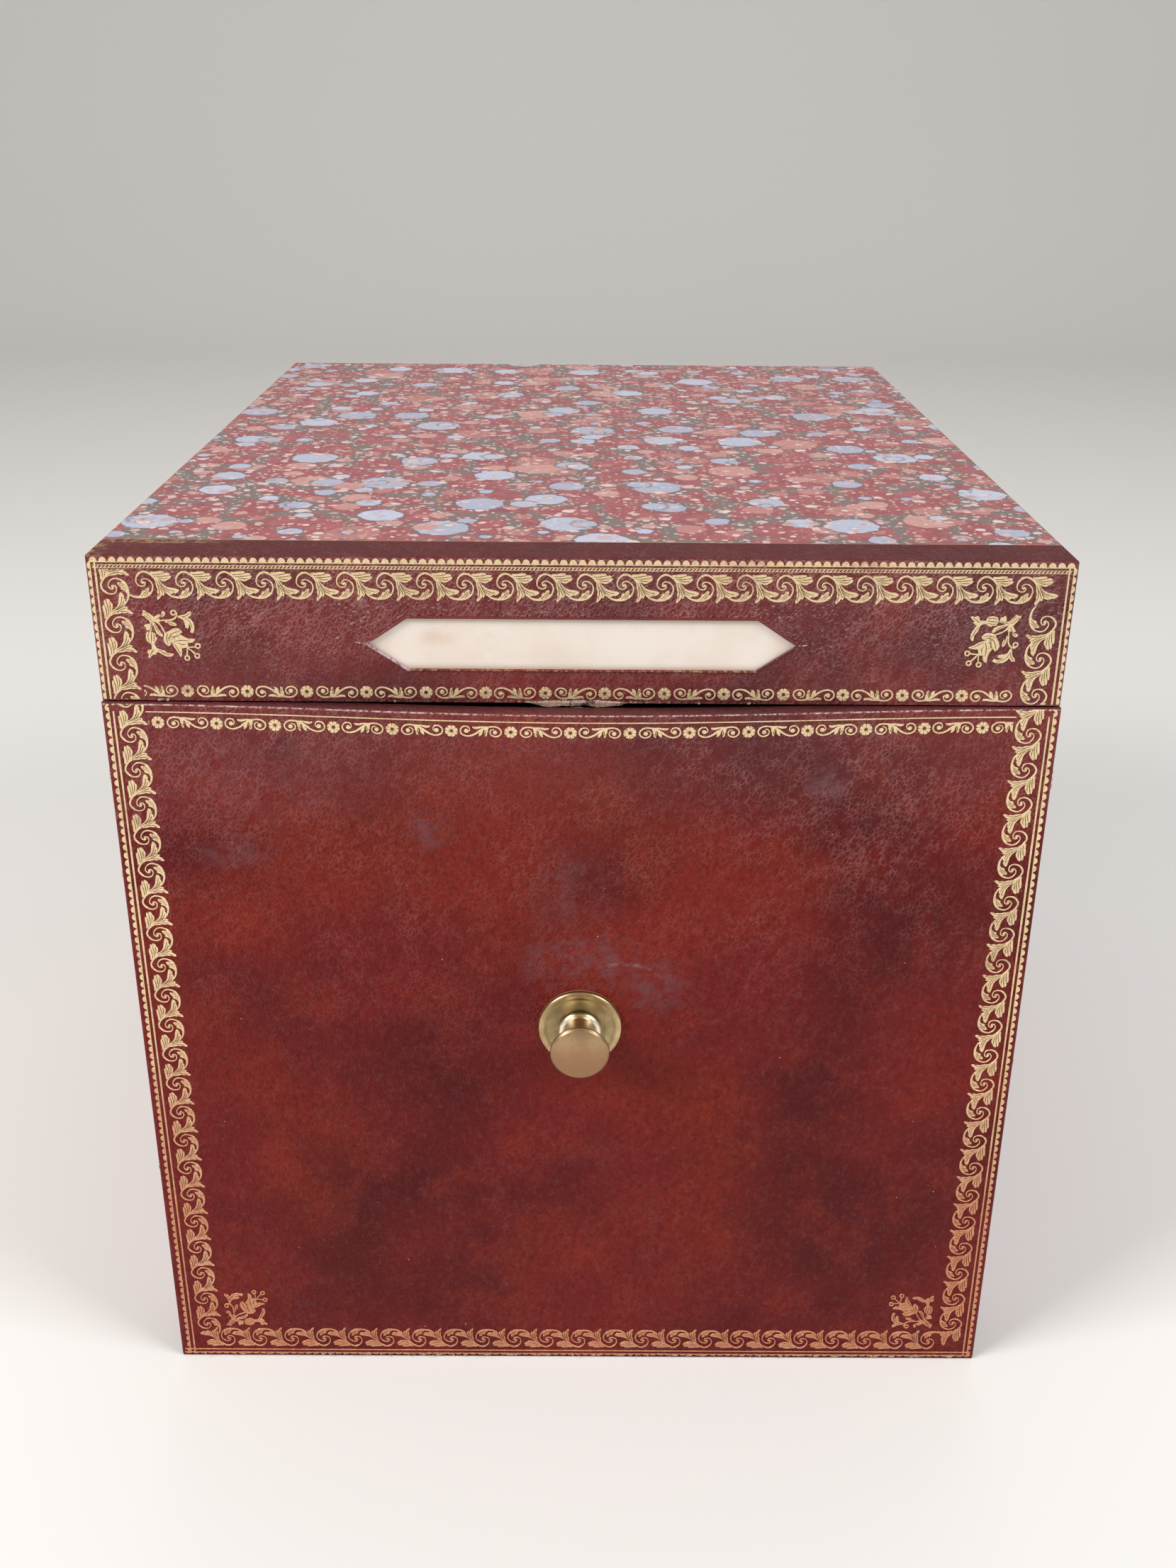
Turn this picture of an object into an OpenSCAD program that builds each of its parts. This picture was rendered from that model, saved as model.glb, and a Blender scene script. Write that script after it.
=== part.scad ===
// Stationery box: a tall board box for papers, leather on the front and marbled paper elsewhere.
// The lid lifts on a leather strip along the back, and the front falls forward on a leather joint
// along its foot. Millimetres, +Z up, front towards -Y, origin at the middle of the footprint.

/* [Box] */
// Width over the paper
box_w = 270; // [180:1:360]
// Depth from the face of the fall front to the paper on the back
box_d = 337; // [220:1:420]
// Height with the lid shut
box_h = 280; // [180:1:360]
// Height of the fall front, from the table to its top edge
front_h = 236.5; // [140:0.5:300]
// Height of the lid, from its rim to its top
lid_h = 42; // [30:0.5:60]
// Depth by which the lid's front sits behind the fall front
lid_setback = 1.5; // [0.5:0.1:3]

/* [Boards] */
// Thickness of the base and wall boards
wall_t = 3.5; // [2.5:0.1:5]
// Thickness of the lid's top board
top_t = 3.5; // [2.5:0.1:5]
// Thickness of the boards of the lid's side and back rims
rim_t = 2.7; // [2:0.1:3]
// Thickness of the fall front's board
front_t = 4; // [3:0.1:6]
// Thickness of the throat, the inner wall that the lid closes over
throat_t = 2; // [1.5:0.1:3]
// Height of the throat above the top of the walls
throat_rise = 30; // [10:1:34]
// Thickness of the panel on the inside of the fall front
liner_t = 2.5; // [2:0.1:4]

/* [Coverings] */
// Thickness of the leather on a face
leather_t = 0.8; // [0.6:0.1:1.2]
// Thickness of leather and paper where they are turned over an edge
skin_t = 0.3; // [0.2:0.05:0.4]
// Thickness of the lining paper
lining_t = 0.2; // [0.1:0.05:0.3]
// Width of leather carried from the front onto the top and sides
return_w = 16; // [8:1:30]
// Rounding of the outer edges
edge_r = 0.9; // [0.85:0.05:1.2]

/* [Label window] */
// Length of the window from point to point
window_l = 119.5; // [60:0.5:160]
// Length of the window's straight edges
window_straight = 97; // [40:0.5:140]
// Height of the window
window_h = 15.1; // [8:0.1:20]
// Height of the window's middle above the lid's rim
window_z = 17.2; // [12:0.1:24]
// Thickness of the label card
card_t = 0.5; // [0.3:0.1:0.8]

/* [Knob] */
// Height of the knob's middle above the table
knob_z = 132.4; // [60:0.5:180]
// Radius of the rose, the plate behind the knob
rose_r = 12.85; // [10:0.05:16]
// Thickness of the rose
rose_t = 1.8; // [1.2:0.1:3]
// Radius of the knob's button
button_r = 8.9; // [7:0.1:12]
// Distance from the leather to the crown of the button
knob_reach = 16.8; // [14:0.1:22]
// Radius of the knob's neck
neck_r = 4.1; // [3:0.1:5]

/* [Hidden] */

$fn = 96;
eps = 0.02;
big = 1000;

leather_colour = "#5b221f";
marble_colour = "#a8656a";
board_colour = "#8f8677";
lining_colour = "#ded2ba";
card_colour = "#ead8bd";
brass_colour = "#b89b5e";

// Outer faces
half_w = box_w / 2;
front_y = -box_d / 2;
back_y = box_d / 2;
// Outer faces of the wall boards, under their covering
board_half_w = half_w - skin_t;
board_back_y = back_y - skin_t;
// Faces of the side and back throats
throat_half_w = board_half_w - wall_t;
throat_in_half_w = throat_half_w - throat_t;
throat_back_y = board_back_y - wall_t;
throat_in_back_y = throat_back_y - throat_t;
// The fall front, from its face inwards
front_board_y = front_y + leather_t;
front_in_y = front_board_y + front_t;
front_seat_y = front_in_y + skin_t;
// Gap between the fall front and the walls it shuts against
seat_gap = 0.3;
wall_front_y = front_seat_y + seat_gap + skin_t;
base_front_y = front_seat_y + seat_gap;
// Levels
joint_gap = 0.05;
foot_z = skin_t + joint_gap;
base_top_z = skin_t + wall_t;
floor_z = base_top_z + lining_t;
rim_z = box_h - lid_h;
lid_clear = 0.3;
wall_top_z = rim_z - lid_clear;
throat_top_z = wall_top_z + throat_rise;
// The lid, from its face inwards
lid_front_y = front_y + lid_setback;
lid_board_y = lid_front_y + leather_t;
lip_t = 3;
lip_in_y = lid_board_y + lip_t;
rim_in_half_w = board_half_w - rim_t;
rim_in_back_y = board_back_y - rim_t;
lid_under_z = box_h - skin_t - top_t;
turn_in_h = 12;
// Front of the throat where the lid's lip swings past it
throat_swing_y = lip_in_y + 2.7;
throat_corner_r = 12;
// The inner panel of the fall front, a close fit between the throats
liner_half_w = throat_in_half_w - lining_t - 0.3;
liner_z = floor_z + 0.4;
liner_top_z = front_h - 8.5;
// Stud and nut that hold the knob
stud_r = 2;
stud_clear = 0.05;
hole_r = stud_r + 0.2;
washer_r = 5;
washer_t = 0.6;
nut_w = 7;
nut_t = 2;
pocket_r = 6.5;
// Leather strip of the lid's hinge
strip_t = 0.4;
strip_h = 18;
strip_inset = 1.5;
// Leather joint under the foot of the fall front
joint_w = 20;

// A block given by its low and high corners
module block(low, high) {
  translate(low) cube(high - low);
}

// A rectangle with its four corners rounded, from low to high
module round_rect(low, high, r) {
  translate([low[0] + r, low[1]]) square([high[0] - low[0] - 2 * r, high[1] - low[1]]);
  translate([low[0], low[1] + r]) square([high[0] - low[0], high[1] - low[1] - 2 * r]);
  for (x = [low[0] + r, high[0] - r], y = [low[1] + r, high[1] - r])
    translate([x, y]) circle(r);
}

// Extrudes an outline drawn in Y and Z along X, from x0 to x1
module along_x(x0, x1) {
  translate([x0, 0, 0]) rotate([90, 0, 90]) linear_extrude(x1 - x0) children();
}

// Extrudes an outline drawn in X and Z along Y, from y0 to y1
module along_y(y0, y1) {
  translate([0, y1, 0]) rotate([90, 0, 0]) linear_extrude(y1 - y0) children();
}

// Turns a profile given as [radius, height] about the knob's axis, its heights out from y
module turned(y) {
  translate([0, y, knob_z]) rotate([90, 0, 0]) rotate_extrude() children();
}

// A hole along the knob's axis
module knob_bore(r) {
  translate([0, front_y - 50, knob_z]) rotate([-90, 0, 0]) cylinder(h = 100, r = r);
}

// Points of an arc in degrees
function arc(centre, r, a0, a1, steps) =
  [for (i = [0:steps]) let (a = a0 + (a1 - a0) * i / steps) centre + r * [cos(a), sin(a)]];

// Mirrors the left half's piece to the right
module right_hand() {
  mirror([1, 0, 0]) children();
}

module base_board() {
  color(board_colour)
    block([-board_half_w, base_front_y, skin_t], [board_half_w, board_back_y, base_top_z]);
}

module left_board() {
  color(board_colour)
    block([-board_half_w, wall_front_y, base_top_z], [-throat_half_w, throat_back_y, wall_top_z - skin_t]);
}

module back_board() {
  color(board_colour)
    block([-board_half_w, throat_back_y, base_top_z], [board_half_w, board_back_y, wall_top_z - skin_t]);
}

// Outline of a side throat in Y and Z: full depth up to the wall's top, then stepped back and
// rounded where the lid's lip swings past
module throat_outline(grow = 0) {
  swing_y = throat_swing_y - grow;
  top_z = throat_top_z + grow;
  r = throat_corner_r + grow;
  translate([wall_front_y, base_top_z])
    square([throat_in_back_y - wall_front_y, front_h - base_top_z]);
  translate([swing_y, base_top_z])
    square([throat_in_back_y - swing_y, top_z - r - base_top_z]);
  translate([swing_y + r, base_top_z])
    square([throat_in_back_y - swing_y - r, top_z - base_top_z]);
  translate([swing_y + r, top_z - r]) circle(r);
}

module left_throat() {
  color(board_colour)
    along_x(-throat_half_w, -throat_in_half_w) throat_outline();
}

module back_throat() {
  color(board_colour)
    block([-throat_half_w, throat_in_back_y, base_top_z], [throat_half_w, throat_back_y, throat_top_z]);
}

// Marbled paper round the left side, back and right side, turned over the top edges of the walls
// and under the base
module case_paper() {
  paper_y = base_front_y + return_w;
  turn_under = 12;
  color(marble_colour)
    difference() {
      linear_extrude(wall_top_z)
        round_rect([-half_w, paper_y - 10], [half_w, back_y], edge_r);
      block([-big, paper_y - 20, -1], [big, paper_y, big]);
      block([-board_half_w, paper_y - 20, skin_t], [board_half_w, board_back_y, wall_top_z - skin_t]);
      block([-throat_half_w, paper_y - 20, skin_t], [throat_half_w, throat_back_y, big]);
      block([-half_w + turn_under, paper_y - 20, -1], [half_w - turn_under, back_y - turn_under, 2 * skin_t]);
    }
}

module base_paper() {
  turn_under = 12;
  color(lining_colour)
    block([-half_w + turn_under, base_front_y + joint_w, 0], [half_w - turn_under, back_y - turn_under, skin_t]);
}

// Lining paper on the inner faces of the throat, over its top edge and down its outside to the walls
module case_lining() {
  color(lining_colour)
    difference() {
      union() {
        for (side = [-1, 1])
          along_x(side > 0 ? throat_in_half_w - lining_t : -throat_half_w - lining_t,
            side > 0 ? throat_half_w + lining_t : -throat_in_half_w + lining_t)
            throat_outline(lining_t);
        block([-throat_half_w - lining_t, throat_in_back_y - lining_t, base_top_z],
          [throat_half_w + lining_t, throat_back_y + lining_t, throat_top_z + lining_t]);
      }
      for (side = [-1, 1])
        along_x(side > 0 ? throat_in_half_w : -throat_half_w, side > 0 ? throat_half_w : -throat_in_half_w)
          throat_outline();
      block([-throat_half_w, throat_in_back_y - eps, base_top_z - 1], [throat_half_w, throat_back_y, throat_top_z]);
      for (side = [-1, 1])
        block([side > 0 ? throat_half_w - eps : -big, -big, -1], [side > 0 ? big : -throat_half_w + eps, big, wall_top_z]);
      block([-big, throat_back_y - eps, -1], [big, big, wall_top_z]);
      block([-big, -big, -1], [big, big, floor_z]);
    }
}

module floor_lining() {
  color(lining_colour)
    block([-throat_in_half_w, wall_front_y, base_top_z], [throat_in_half_w, throat_in_back_y, floor_z]);
}

// Leather over the front edge of the left wall, carried round onto its outer face
module left_edge_leather() {
  color(leather_colour) {
    difference() {
      intersection() {
        linear_extrude(wall_top_z)
          round_rect([-half_w, base_front_y], [half_w, back_y], edge_r);
        block([-half_w, base_front_y, 0], [-throat_in_half_w, base_front_y + return_w, wall_top_z]);
      }
      block([-board_half_w, base_front_y - 1, -1], [0, base_front_y + return_w + 1, base_top_z]);
      block([-board_half_w, wall_front_y, 0], [0, base_front_y + return_w + 1, wall_top_z - skin_t]);
      block([-throat_half_w, wall_front_y, 0], [0, base_front_y + return_w + 1, big]);
      block([-throat_half_w, base_front_y - 1, front_h], [0, base_front_y + return_w + 1, big]);
    }
  }
}

// Leather joint that runs from under the foot of the fall front onto the underside of the base
module front_hinge_leather() {
  color(leather_colour)
    block([-half_w + skin_t, front_y + skin_t, 0], [half_w - skin_t, base_front_y + return_w, skin_t]);
  color(leather_colour)
    block([-half_w + 12, base_front_y + return_w, 0], [half_w - 12, base_front_y + joint_w, skin_t]);
}

module lid_hinge_lower() {
  color(leather_colour)
    block([-half_w + strip_inset, back_y, wall_top_z - strip_h], [half_w - strip_inset, back_y + strip_t, wall_top_z]);
}

module lid_hinge_upper() {
  color(leather_colour)
    block([-half_w + strip_inset, back_y, rim_z], [half_w - strip_inset, back_y + strip_t, rim_z + strip_h]);
}

// Form of the whole lid with its outer edges rounded
module lid_form() {
  intersection() {
    translate([0, 0, rim_z]) linear_extrude(lid_h)
      round_rect([-half_w, lid_front_y], [half_w, back_y], edge_r);
    along_x(-half_w, half_w)
      round_rect([lid_front_y, rim_z - 5], [back_y, box_h], edge_r);
    along_y(lid_front_y, back_y)
      round_rect([-half_w, rim_z - 5], [half_w, box_h], edge_r);
  }
}

// Space that the lid's boards and the hollow between them take, inside its covering
module lid_core() {
  block([-board_half_w, lid_board_y, rim_z + skin_t], [board_half_w, board_back_y, box_h - skin_t]);
  block([-rim_in_half_w, lip_in_y, rim_z - 1], [rim_in_half_w, rim_in_back_y, rim_z + 1]);
}

module lid_top_board() {
  color(board_colour)
    block([-board_half_w, lid_board_y, lid_under_z], [board_half_w, board_back_y, box_h - skin_t]);
}

// The label window's outline, a long hexagon about its own middle, in X and Z
module window_outline() {
  polygon([[-window_l / 2, 0], [-window_straight / 2, window_h / 2], [window_straight / 2, window_h / 2],
    [window_l / 2, 0], [window_straight / 2, -window_h / 2], [-window_straight / 2, -window_h / 2]]);
}

card_margin = 4;

// Room for the label card, as wide as the card plus a little all round
module card_block(clear) {
  half_l = window_l / 2 + card_margin + clear;
  half_h = window_h / 2 + card_margin + clear;
  block([-half_l, lid_board_y, rim_z + window_z - half_h],
    [half_l, lid_board_y + card_t, rim_z + window_z + half_h]);
}

module lid_front_board() {
  card_clear = 0.3;
  color(board_colour)
    difference() {
      block([-board_half_w, lid_board_y, rim_z + skin_t], [board_half_w, lip_in_y, lid_under_z]);
      translate([0, -1, 0]) card_block(card_clear);
      card_block(card_clear);
    }
}

module lid_left_board() {
  color(board_colour)
    block([-board_half_w, lip_in_y, rim_z + skin_t], [-rim_in_half_w, rim_in_back_y, lid_under_z]);
}

module lid_back_board() {
  color(board_colour)
    block([-board_half_w, rim_in_back_y, rim_z + skin_t], [board_half_w, board_back_y, lid_under_z]);
}

module lid_paper() {
  color(marble_colour)
    difference() {
      lid_form();
      lid_core();
      block([-big, -big, 0], [big, lid_front_y + return_w, big]);
    }
}

// Leather over the lid's front, turned onto the top and sides and in under the lip, with the
// label window cut through its face
module lid_leather() {
  color(leather_colour) {
    difference() {
      lid_form();
      lid_core();
      block([-big, lid_front_y + return_w, 0], [big, big, big]);
      along_y(lid_front_y - 1, lid_board_y + eps)
        translate([0, rim_z + window_z]) window_outline();
    }
    block([-rim_in_half_w + lining_t, lip_in_y, rim_z], [rim_in_half_w - lining_t, lip_in_y + skin_t, rim_z + turn_in_h]);
  }
}

module label_card() {
  color(card_colour) card_block(0);
}

// Lining of the lid: its ceiling, its rims and the upper part of its lip
module lid_lining() {
  inner_half_w = rim_in_half_w - lining_t;
  inner_back_y = rim_in_back_y - lining_t;
  color(lining_colour)
    difference() {
      block([-rim_in_half_w, lip_in_y, rim_z + skin_t], [rim_in_half_w, rim_in_back_y, lid_under_z]);
      block([-inner_half_w, lip_in_y + lining_t, 0], [inner_half_w, inner_back_y, lid_under_z - lining_t]);
      block([-inner_half_w, lip_in_y - 1, 0], [inner_half_w, lip_in_y + 1, rim_z + turn_in_h]);
    }
}

module front_board() {
  color(board_colour)
    difference() {
      block([-board_half_w, front_board_y, foot_z + skin_t], [board_half_w, front_in_y, front_h - skin_t]);
      knob_bore(hole_r);
    }
}

// Leather over the fall front, turned over its four edges and in as far as the inner panel
module front_leather() {
  panel_clear = 0.2;
  color(leather_colour)
    difference() {
      intersection() {
        linear_extrude(front_h)
          round_rect([-half_w, front_y], [half_w, front_seat_y + 10], edge_r);
        along_x(-half_w, half_w)
          round_rect([front_y, foot_z], [front_seat_y + 10, front_h], edge_r);
        block([-half_w, front_y, foot_z], [half_w, front_seat_y, front_h]);
      }
      block([-board_half_w, front_board_y, foot_z + skin_t], [board_half_w, front_in_y, front_h - skin_t]);
      block([-liner_half_w - panel_clear, front_in_y - eps, liner_z - panel_clear],
        [liner_half_w + panel_clear, front_in_y + 1, liner_top_z + panel_clear]);
      knob_bore(hole_r);
    }
}

module front_liner() {
  color(board_colour)
    difference() {
      block([-liner_half_w, front_in_y, liner_z], [liner_half_w, front_in_y + liner_t, liner_top_z]);
      knob_bore(pocket_r);
    }
}

module front_lining() {
  color(lining_colour)
    difference() {
      block([-liner_half_w, front_in_y + liner_t, liner_z], [liner_half_w, front_in_y + liner_t + lining_t, liner_top_z]);
      knob_bore(pocket_r);
    }
}

// Turned plate with a rounded rim and a face that dips a little towards the knob
module knob_rose() {
  lip_r = 0.9;
  dip = 0.3;
  color(brass_colour)
    difference() {
      turned(front_y)
        polygon(concat([[hole_r, 0], [rose_r, 0], [rose_r, rose_t - lip_r]],
          arc([rose_r - lip_r, rose_t - lip_r], lip_r, 0, 90, 8),
          [[rose_r - 2 * lip_r, rose_t], [rose_r - 3 * lip_r, rose_t - dip], [hole_r, rose_t - dip]]));
    }
}

// Turned knob: a rounded foot, a hollow neck, a button with a bead round its edge and a low crown,
// and behind it the stud that passes through the board
module knob() {
  seat = rose_t - 0.3;
  foot_r = 6.6;
  foot_h = 2.6;
  button_z = knob_reach - 2.7;
  edge_h = 1.4;
  crown = knob_reach - button_z - edge_h;
  crown_r = (button_r * button_r + crown * crown) / (2 * crown);
  crown_a = asin(button_r / crown_r);
  neck_h = button_z - seat - foot_h;
  stud_end = front_in_y + washer_t + nut_t;
  color(brass_colour) {
    turned(front_y)
      polygon(concat([[0, seat], [foot_r - 0.6, seat]],
        arc([foot_r - foot_h / 2, seat + foot_h / 2], foot_h / 2, -60, 60, 8),
        [for (i = [0:12]) let (t = i / 12)
          [neck_r + (foot_r - 1.2 - neck_r) * pow(1 - t, 3) + (button_r - 1.2 - neck_r) * pow(t, 3),
            seat + foot_h + neck_h * t]],
        arc([button_r - edge_h / 2, button_z + edge_h / 2], edge_h / 2, -90, 60, 8),
        arc([0, knob_reach - crown_r], crown_r, 90 - crown_a * 0.92, 90, 12)));
    translate([0, front_y - seat - eps, knob_z]) rotate([-90, 0, 0])
      cylinder(h = stud_end - front_y + seat + eps, r = stud_r);
  }
}

module knob_washer() {
  color(brass_colour)
    translate([0, front_in_y, knob_z]) rotate([-90, 0, 0])
      difference() {
        cylinder(h = washer_t, r = washer_r);
        translate([0, 0, -1]) cylinder(h = washer_t + 2, r = stud_r + stud_clear);
      }
}

// Square nut with its corners turned off
module knob_nut() {
  color(brass_colour)
    translate([0, front_in_y + washer_t, knob_z]) rotate([-90, 0, 0])
      difference() {
        intersection() {
          translate([-nut_w / 2, -nut_w / 2, 0]) cube([nut_w, nut_w, nut_t]);
          cylinder(h = nut_t, r = nut_w * 0.62);
        }
        translate([0, 0, -1]) cylinder(h = nut_t + 2, r = stud_r + stud_clear);
      }
}

base_board();
left_board();
right_hand() left_board();  // right_board
back_board();
left_throat();
right_hand() left_throat();  // right_throat
back_throat();
case_paper();
base_paper();
case_lining();
floor_lining();
left_edge_leather();
right_hand() left_edge_leather();  // right_edge_leather
front_hinge_leather();
lid_hinge_lower();
lid_top_board();
lid_front_board();
lid_left_board();
right_hand() lid_left_board();  // lid_right_board
lid_back_board();
lid_paper();
lid_leather();
label_card();
lid_lining();
lid_hinge_upper();
front_board();
front_leather();
front_liner();
front_lining();
knob_rose();
knob();
knob_washer();
knob_nut();
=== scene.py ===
import math
import random

import bmesh
import bpy
from mathutils import Matrix, Vector, noise
from mathutils.geometry import delaunay_2d_cdt


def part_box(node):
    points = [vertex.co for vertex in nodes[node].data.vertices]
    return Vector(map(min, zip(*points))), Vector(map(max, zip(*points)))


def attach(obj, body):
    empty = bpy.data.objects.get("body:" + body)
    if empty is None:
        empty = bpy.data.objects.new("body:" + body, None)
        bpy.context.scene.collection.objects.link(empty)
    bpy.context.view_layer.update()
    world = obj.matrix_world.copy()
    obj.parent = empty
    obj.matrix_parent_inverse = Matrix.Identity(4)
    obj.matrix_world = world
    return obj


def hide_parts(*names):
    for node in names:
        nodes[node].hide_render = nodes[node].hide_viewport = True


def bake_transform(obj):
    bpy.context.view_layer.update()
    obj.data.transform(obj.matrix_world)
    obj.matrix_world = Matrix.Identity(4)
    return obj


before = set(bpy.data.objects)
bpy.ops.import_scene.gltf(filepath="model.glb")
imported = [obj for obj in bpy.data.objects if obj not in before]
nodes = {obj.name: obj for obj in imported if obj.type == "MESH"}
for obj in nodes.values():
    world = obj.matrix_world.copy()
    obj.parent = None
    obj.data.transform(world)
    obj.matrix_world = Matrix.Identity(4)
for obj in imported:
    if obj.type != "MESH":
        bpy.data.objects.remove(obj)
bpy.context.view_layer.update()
mm = 0.001


# Shader building

class Wire:  # one output socket, so that shader maths can be written as Python
    def __init__(self, paint, socket):
        self.paint = paint
        self.socket = socket

    def maths(self, operation, *values):
        return self.paint.add("ShaderNodeMath", {"operation": operation}, dict(enumerate(values)))

    def __add__(self, other):
        return self.maths("ADD", self, other)

    def __radd__(self, other):
        return self.maths("ADD", other, self)

    def __sub__(self, other):
        return self.maths("SUBTRACT", self, other)

    def __rsub__(self, other):
        return self.maths("SUBTRACT", other, self)

    def __mul__(self, other):
        return self.maths("MULTIPLY", self, other)

    def __rmul__(self, other):
        return self.maths("MULTIPLY", other, self)

    def __truediv__(self, other):
        return self.maths("DIVIDE", self, other)

    def __pow__(self, other):
        return self.maths("POWER", self, other)

    def __lt__(self, other):
        return self.maths("LESS_THAN", self, other)

    def __gt__(self, other):
        return self.maths("GREATER_THAN", self, other)

    def size(self):
        return self.maths("ABSOLUTE", self)

    def sign(self):
        return self.maths("SIGN", self)

    def most(self, other):
        return self.maths("MAXIMUM", self, other)

    def rise(self, low, high, start=0.0, to=1.0):  # a smooth step from start at low to its end at high
        return self.paint.add("ShaderNodeMapRange", {"interpolation_type": "SMOOTHSTEP"},
                              {0: self, 1: low, 2: high, 3: start, 4: to})

    def axes(self):
        split = self.paint.add("ShaderNodeSeparateXYZ", {}, {0: self})
        return [split.output(i) for i in range(3)]

    def output(self, name):  # another output of the same node
        return Wire(self.paint, self.socket.node.outputs[name])


class Paint:  # one material and its nodes
    def __init__(self, name, **plain):
        self.material = bpy.data.materials.new(name)
        self.material.use_nodes = True
        self.tree = self.material.node_tree
        self.shader = self.tree.nodes["Principled BSDF"]
        for socket, value in plain.items():
            self.shader.inputs[socket.replace("_", " ")].default_value = value
        self.spot = self.add("ShaderNodeTexCoord", {}, {}, "Object")
        self.place = self.vector("SCALE", self.spot, Scale=1 / mm)

    def add(self, kind, settings, values, out=0):
        node = self.tree.nodes.new(kind)
        for name, value in settings.items():
            setattr(node, name, value)
        for key, value in values.items():
            self.feed(node.inputs[key], value)
        return Wire(self, node.outputs[out])

    def feed(self, socket, value):
        if isinstance(value, Wire):
            self.tree.links.new(value.socket, socket)
        elif hasattr(value, "__len__") and len(value) == 3 and len(socket.default_value) == 4:
            socket.default_value = (*value, 1)
        else:
            socket.default_value = value

    def vector(self, operation, first, second=None, **more):
        values = {0: first, **more}
        if second is not None:
            values[1] = second
        return self.add("ShaderNodeVectorMath", {"operation": operation}, values)

    def joined(self, x, y, z=0.0):
        return self.add("ShaderNodeCombineXYZ", {}, {0: x, 1: y, 2: z})

    def stretched(self, size, shift=(0, 0, 0)):  # the place counted in cells of that size in mm
        moved = self.vector("ADD", self.place, shift) if any(shift) else self.place
        return self.vector("MULTIPLY", moved, tuple(1 / s for s in size))

    def noise(self, size, detail=3.0, roughness=0.55, where=None, shift=(0, 0, 0), out="Fac"):
        where = where or self.stretched((size, size, size), shift)
        return self.add("ShaderNodeTexNoise", {},
                        {"Vector": where, "Scale": 1.0, "Detail": detail, "Roughness": roughness}, out)

    def warped(self, where, amount, size, detail=2.0):
        drift = self.noise(1, detail, where=self.vector("SCALE", where, Scale=1 / size), out="Color")
        middle = self.vector("SUBTRACT", drift, (0.5, 0.5, 0.5))
        return self.vector("ADD", where, self.vector("SCALE", middle, Scale=amount))

    def cells(self, where, flat=False, feature="F1", loose=1.0):
        settings = {"feature": feature, "voronoi_dimensions": "2D" if flat else "3D"}
        return self.add("ShaderNodeTexVoronoi", settings, {"Vector": where, "Scale": 1.0, "Randomness": loose})

    def mix(self, share, first, second):
        return self.add("ShaderNodeMix", {"data_type": "RGBA"}, {0: share, 6: first, 7: second}, 2)

    def bump(self, height, depth):  # depth in mm for a height from 0 to 1
        return self.add("ShaderNodeBump", {}, {"Height": height, "Distance": depth * mm})

    def finish(self, **varying):
        for socket, value in varying.items():
            self.feed(self.shader.inputs[socket.replace("_", " ")], value)
        return self.material


# Leather: red-brown goatskin with a pebbled grain, its furrows darkened as painted shade and paled in places with
# bloom and a painted highlight, and worn edges

leather = {
    "deep": (0.078, 0.0052, 0.0062),
    "body": (0.150, 0.0095, 0.0088),
    "warm": (0.225, 0.0205, 0.0062),
    "bloomAndHighlight": (0.330, 0.170, 0.175),
    "rubAndSheen": (0.150, 0.068, 0.078),
    "scuff": (0.34, 0.235, 0.215),
    "dustAndGlint": (0.62, 0.55, 0.48),
    "shaded": (0.085, 0.026, 0.030),
    "glint": (0.56, 0.42, 0.44),
    "gold": (0.42, 0.27, 0.12),
    "pebble": (1.12, 1.12, 1.80),
    "lean": 0.42,
    "roughness": 0.36,
}


def leatherPaint(name, grain, bloomAndHighlight, gloss):  # the bloom and painted highlight have their strength given at two heights: low, high, least, most
    p = Paint(name, Specular_IOR_Level=gloss)
    strength = p.place.axes()[2].rise(*bloomAndHighlight)
    slanted = p.vector("ADD", p.place, p.vector("SCALE", p.joined(p.place.axes()[2], 0.0), Scale=-leather["lean"]))
    counted = p.vector("MULTIPLY", slanted, tuple(1 / v for v in leather["pebble"]))
    where = p.warped(counted, 0.8, 2.3)
    edge = p.cells(where, feature="DISTANCE_TO_EDGE")
    dome = edge.rise(0.0, 0.42)
    fine = p.noise(0.42, 2.0)
    folds = p.noise(1, 3.0, 0.6, where=p.vector("SCALE", counted, Scale=0.36))
    patches = p.noise(52, 2.0, 0.5)
    cloud = p.noise(17, 3.0, 0.60, shift=(31, 7, 12))
    height = dome * grain + fine * 0.16 + folds * (1.6 * grain)
    colour = p.mix(patches.rise(0.30, 0.66), leather["deep"], leather["body"])
    colour = p.mix(cloud.rise(0.44, 0.76) * 0.45, colour, leather["warm"])
    # Painted shade darkens the furrows; bloom and a painted highlight pale them in places, stronger higher up
    furrow = (edge + (fine - 0.5) * 0.16).rise(0.19, 0.0)
    light = furrow * folds.rise(0.34, 0.56) * fine.rise(0.32, 0.58, 0.35, 1.0) * cloud.rise(0.36, 0.60, 0.35, 1.0)
    colour = p.mix((furrow - light) * (0.45 * grain), colour, leather["deep"])
    colour = p.mix(light * strength, colour, leather["bloomAndHighlight"])
    shine = leather["roughness"] + (cloud - 0.5) * 0.14 + furrow * 0.16
    return p, colour, height, shine


def plainLeather(name, rim):
    p, colour, height, shine = leatherPaint(name, 0.8, (0.0, 300.0, 0.26, 0.26), 0.25)
    z = p.place.axes()[2]
    # The hidden parts show the sueded side where the skin is worn along the lid's rim
    rub = p.noise(1.6, 4.0, 0.7, shift=(2, 8, 5)).rise(0.52, 0.66) * (z - (rim - 0.2)).size().rise(1.6, 0.3)
    colour = p.mix(rub * 0.6, colour, leather["scuff"])
    return p.finish(Base_Color=colour, Roughness=shine + rub * 0.3, Normal=p.bump(height, 0.34))


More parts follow.
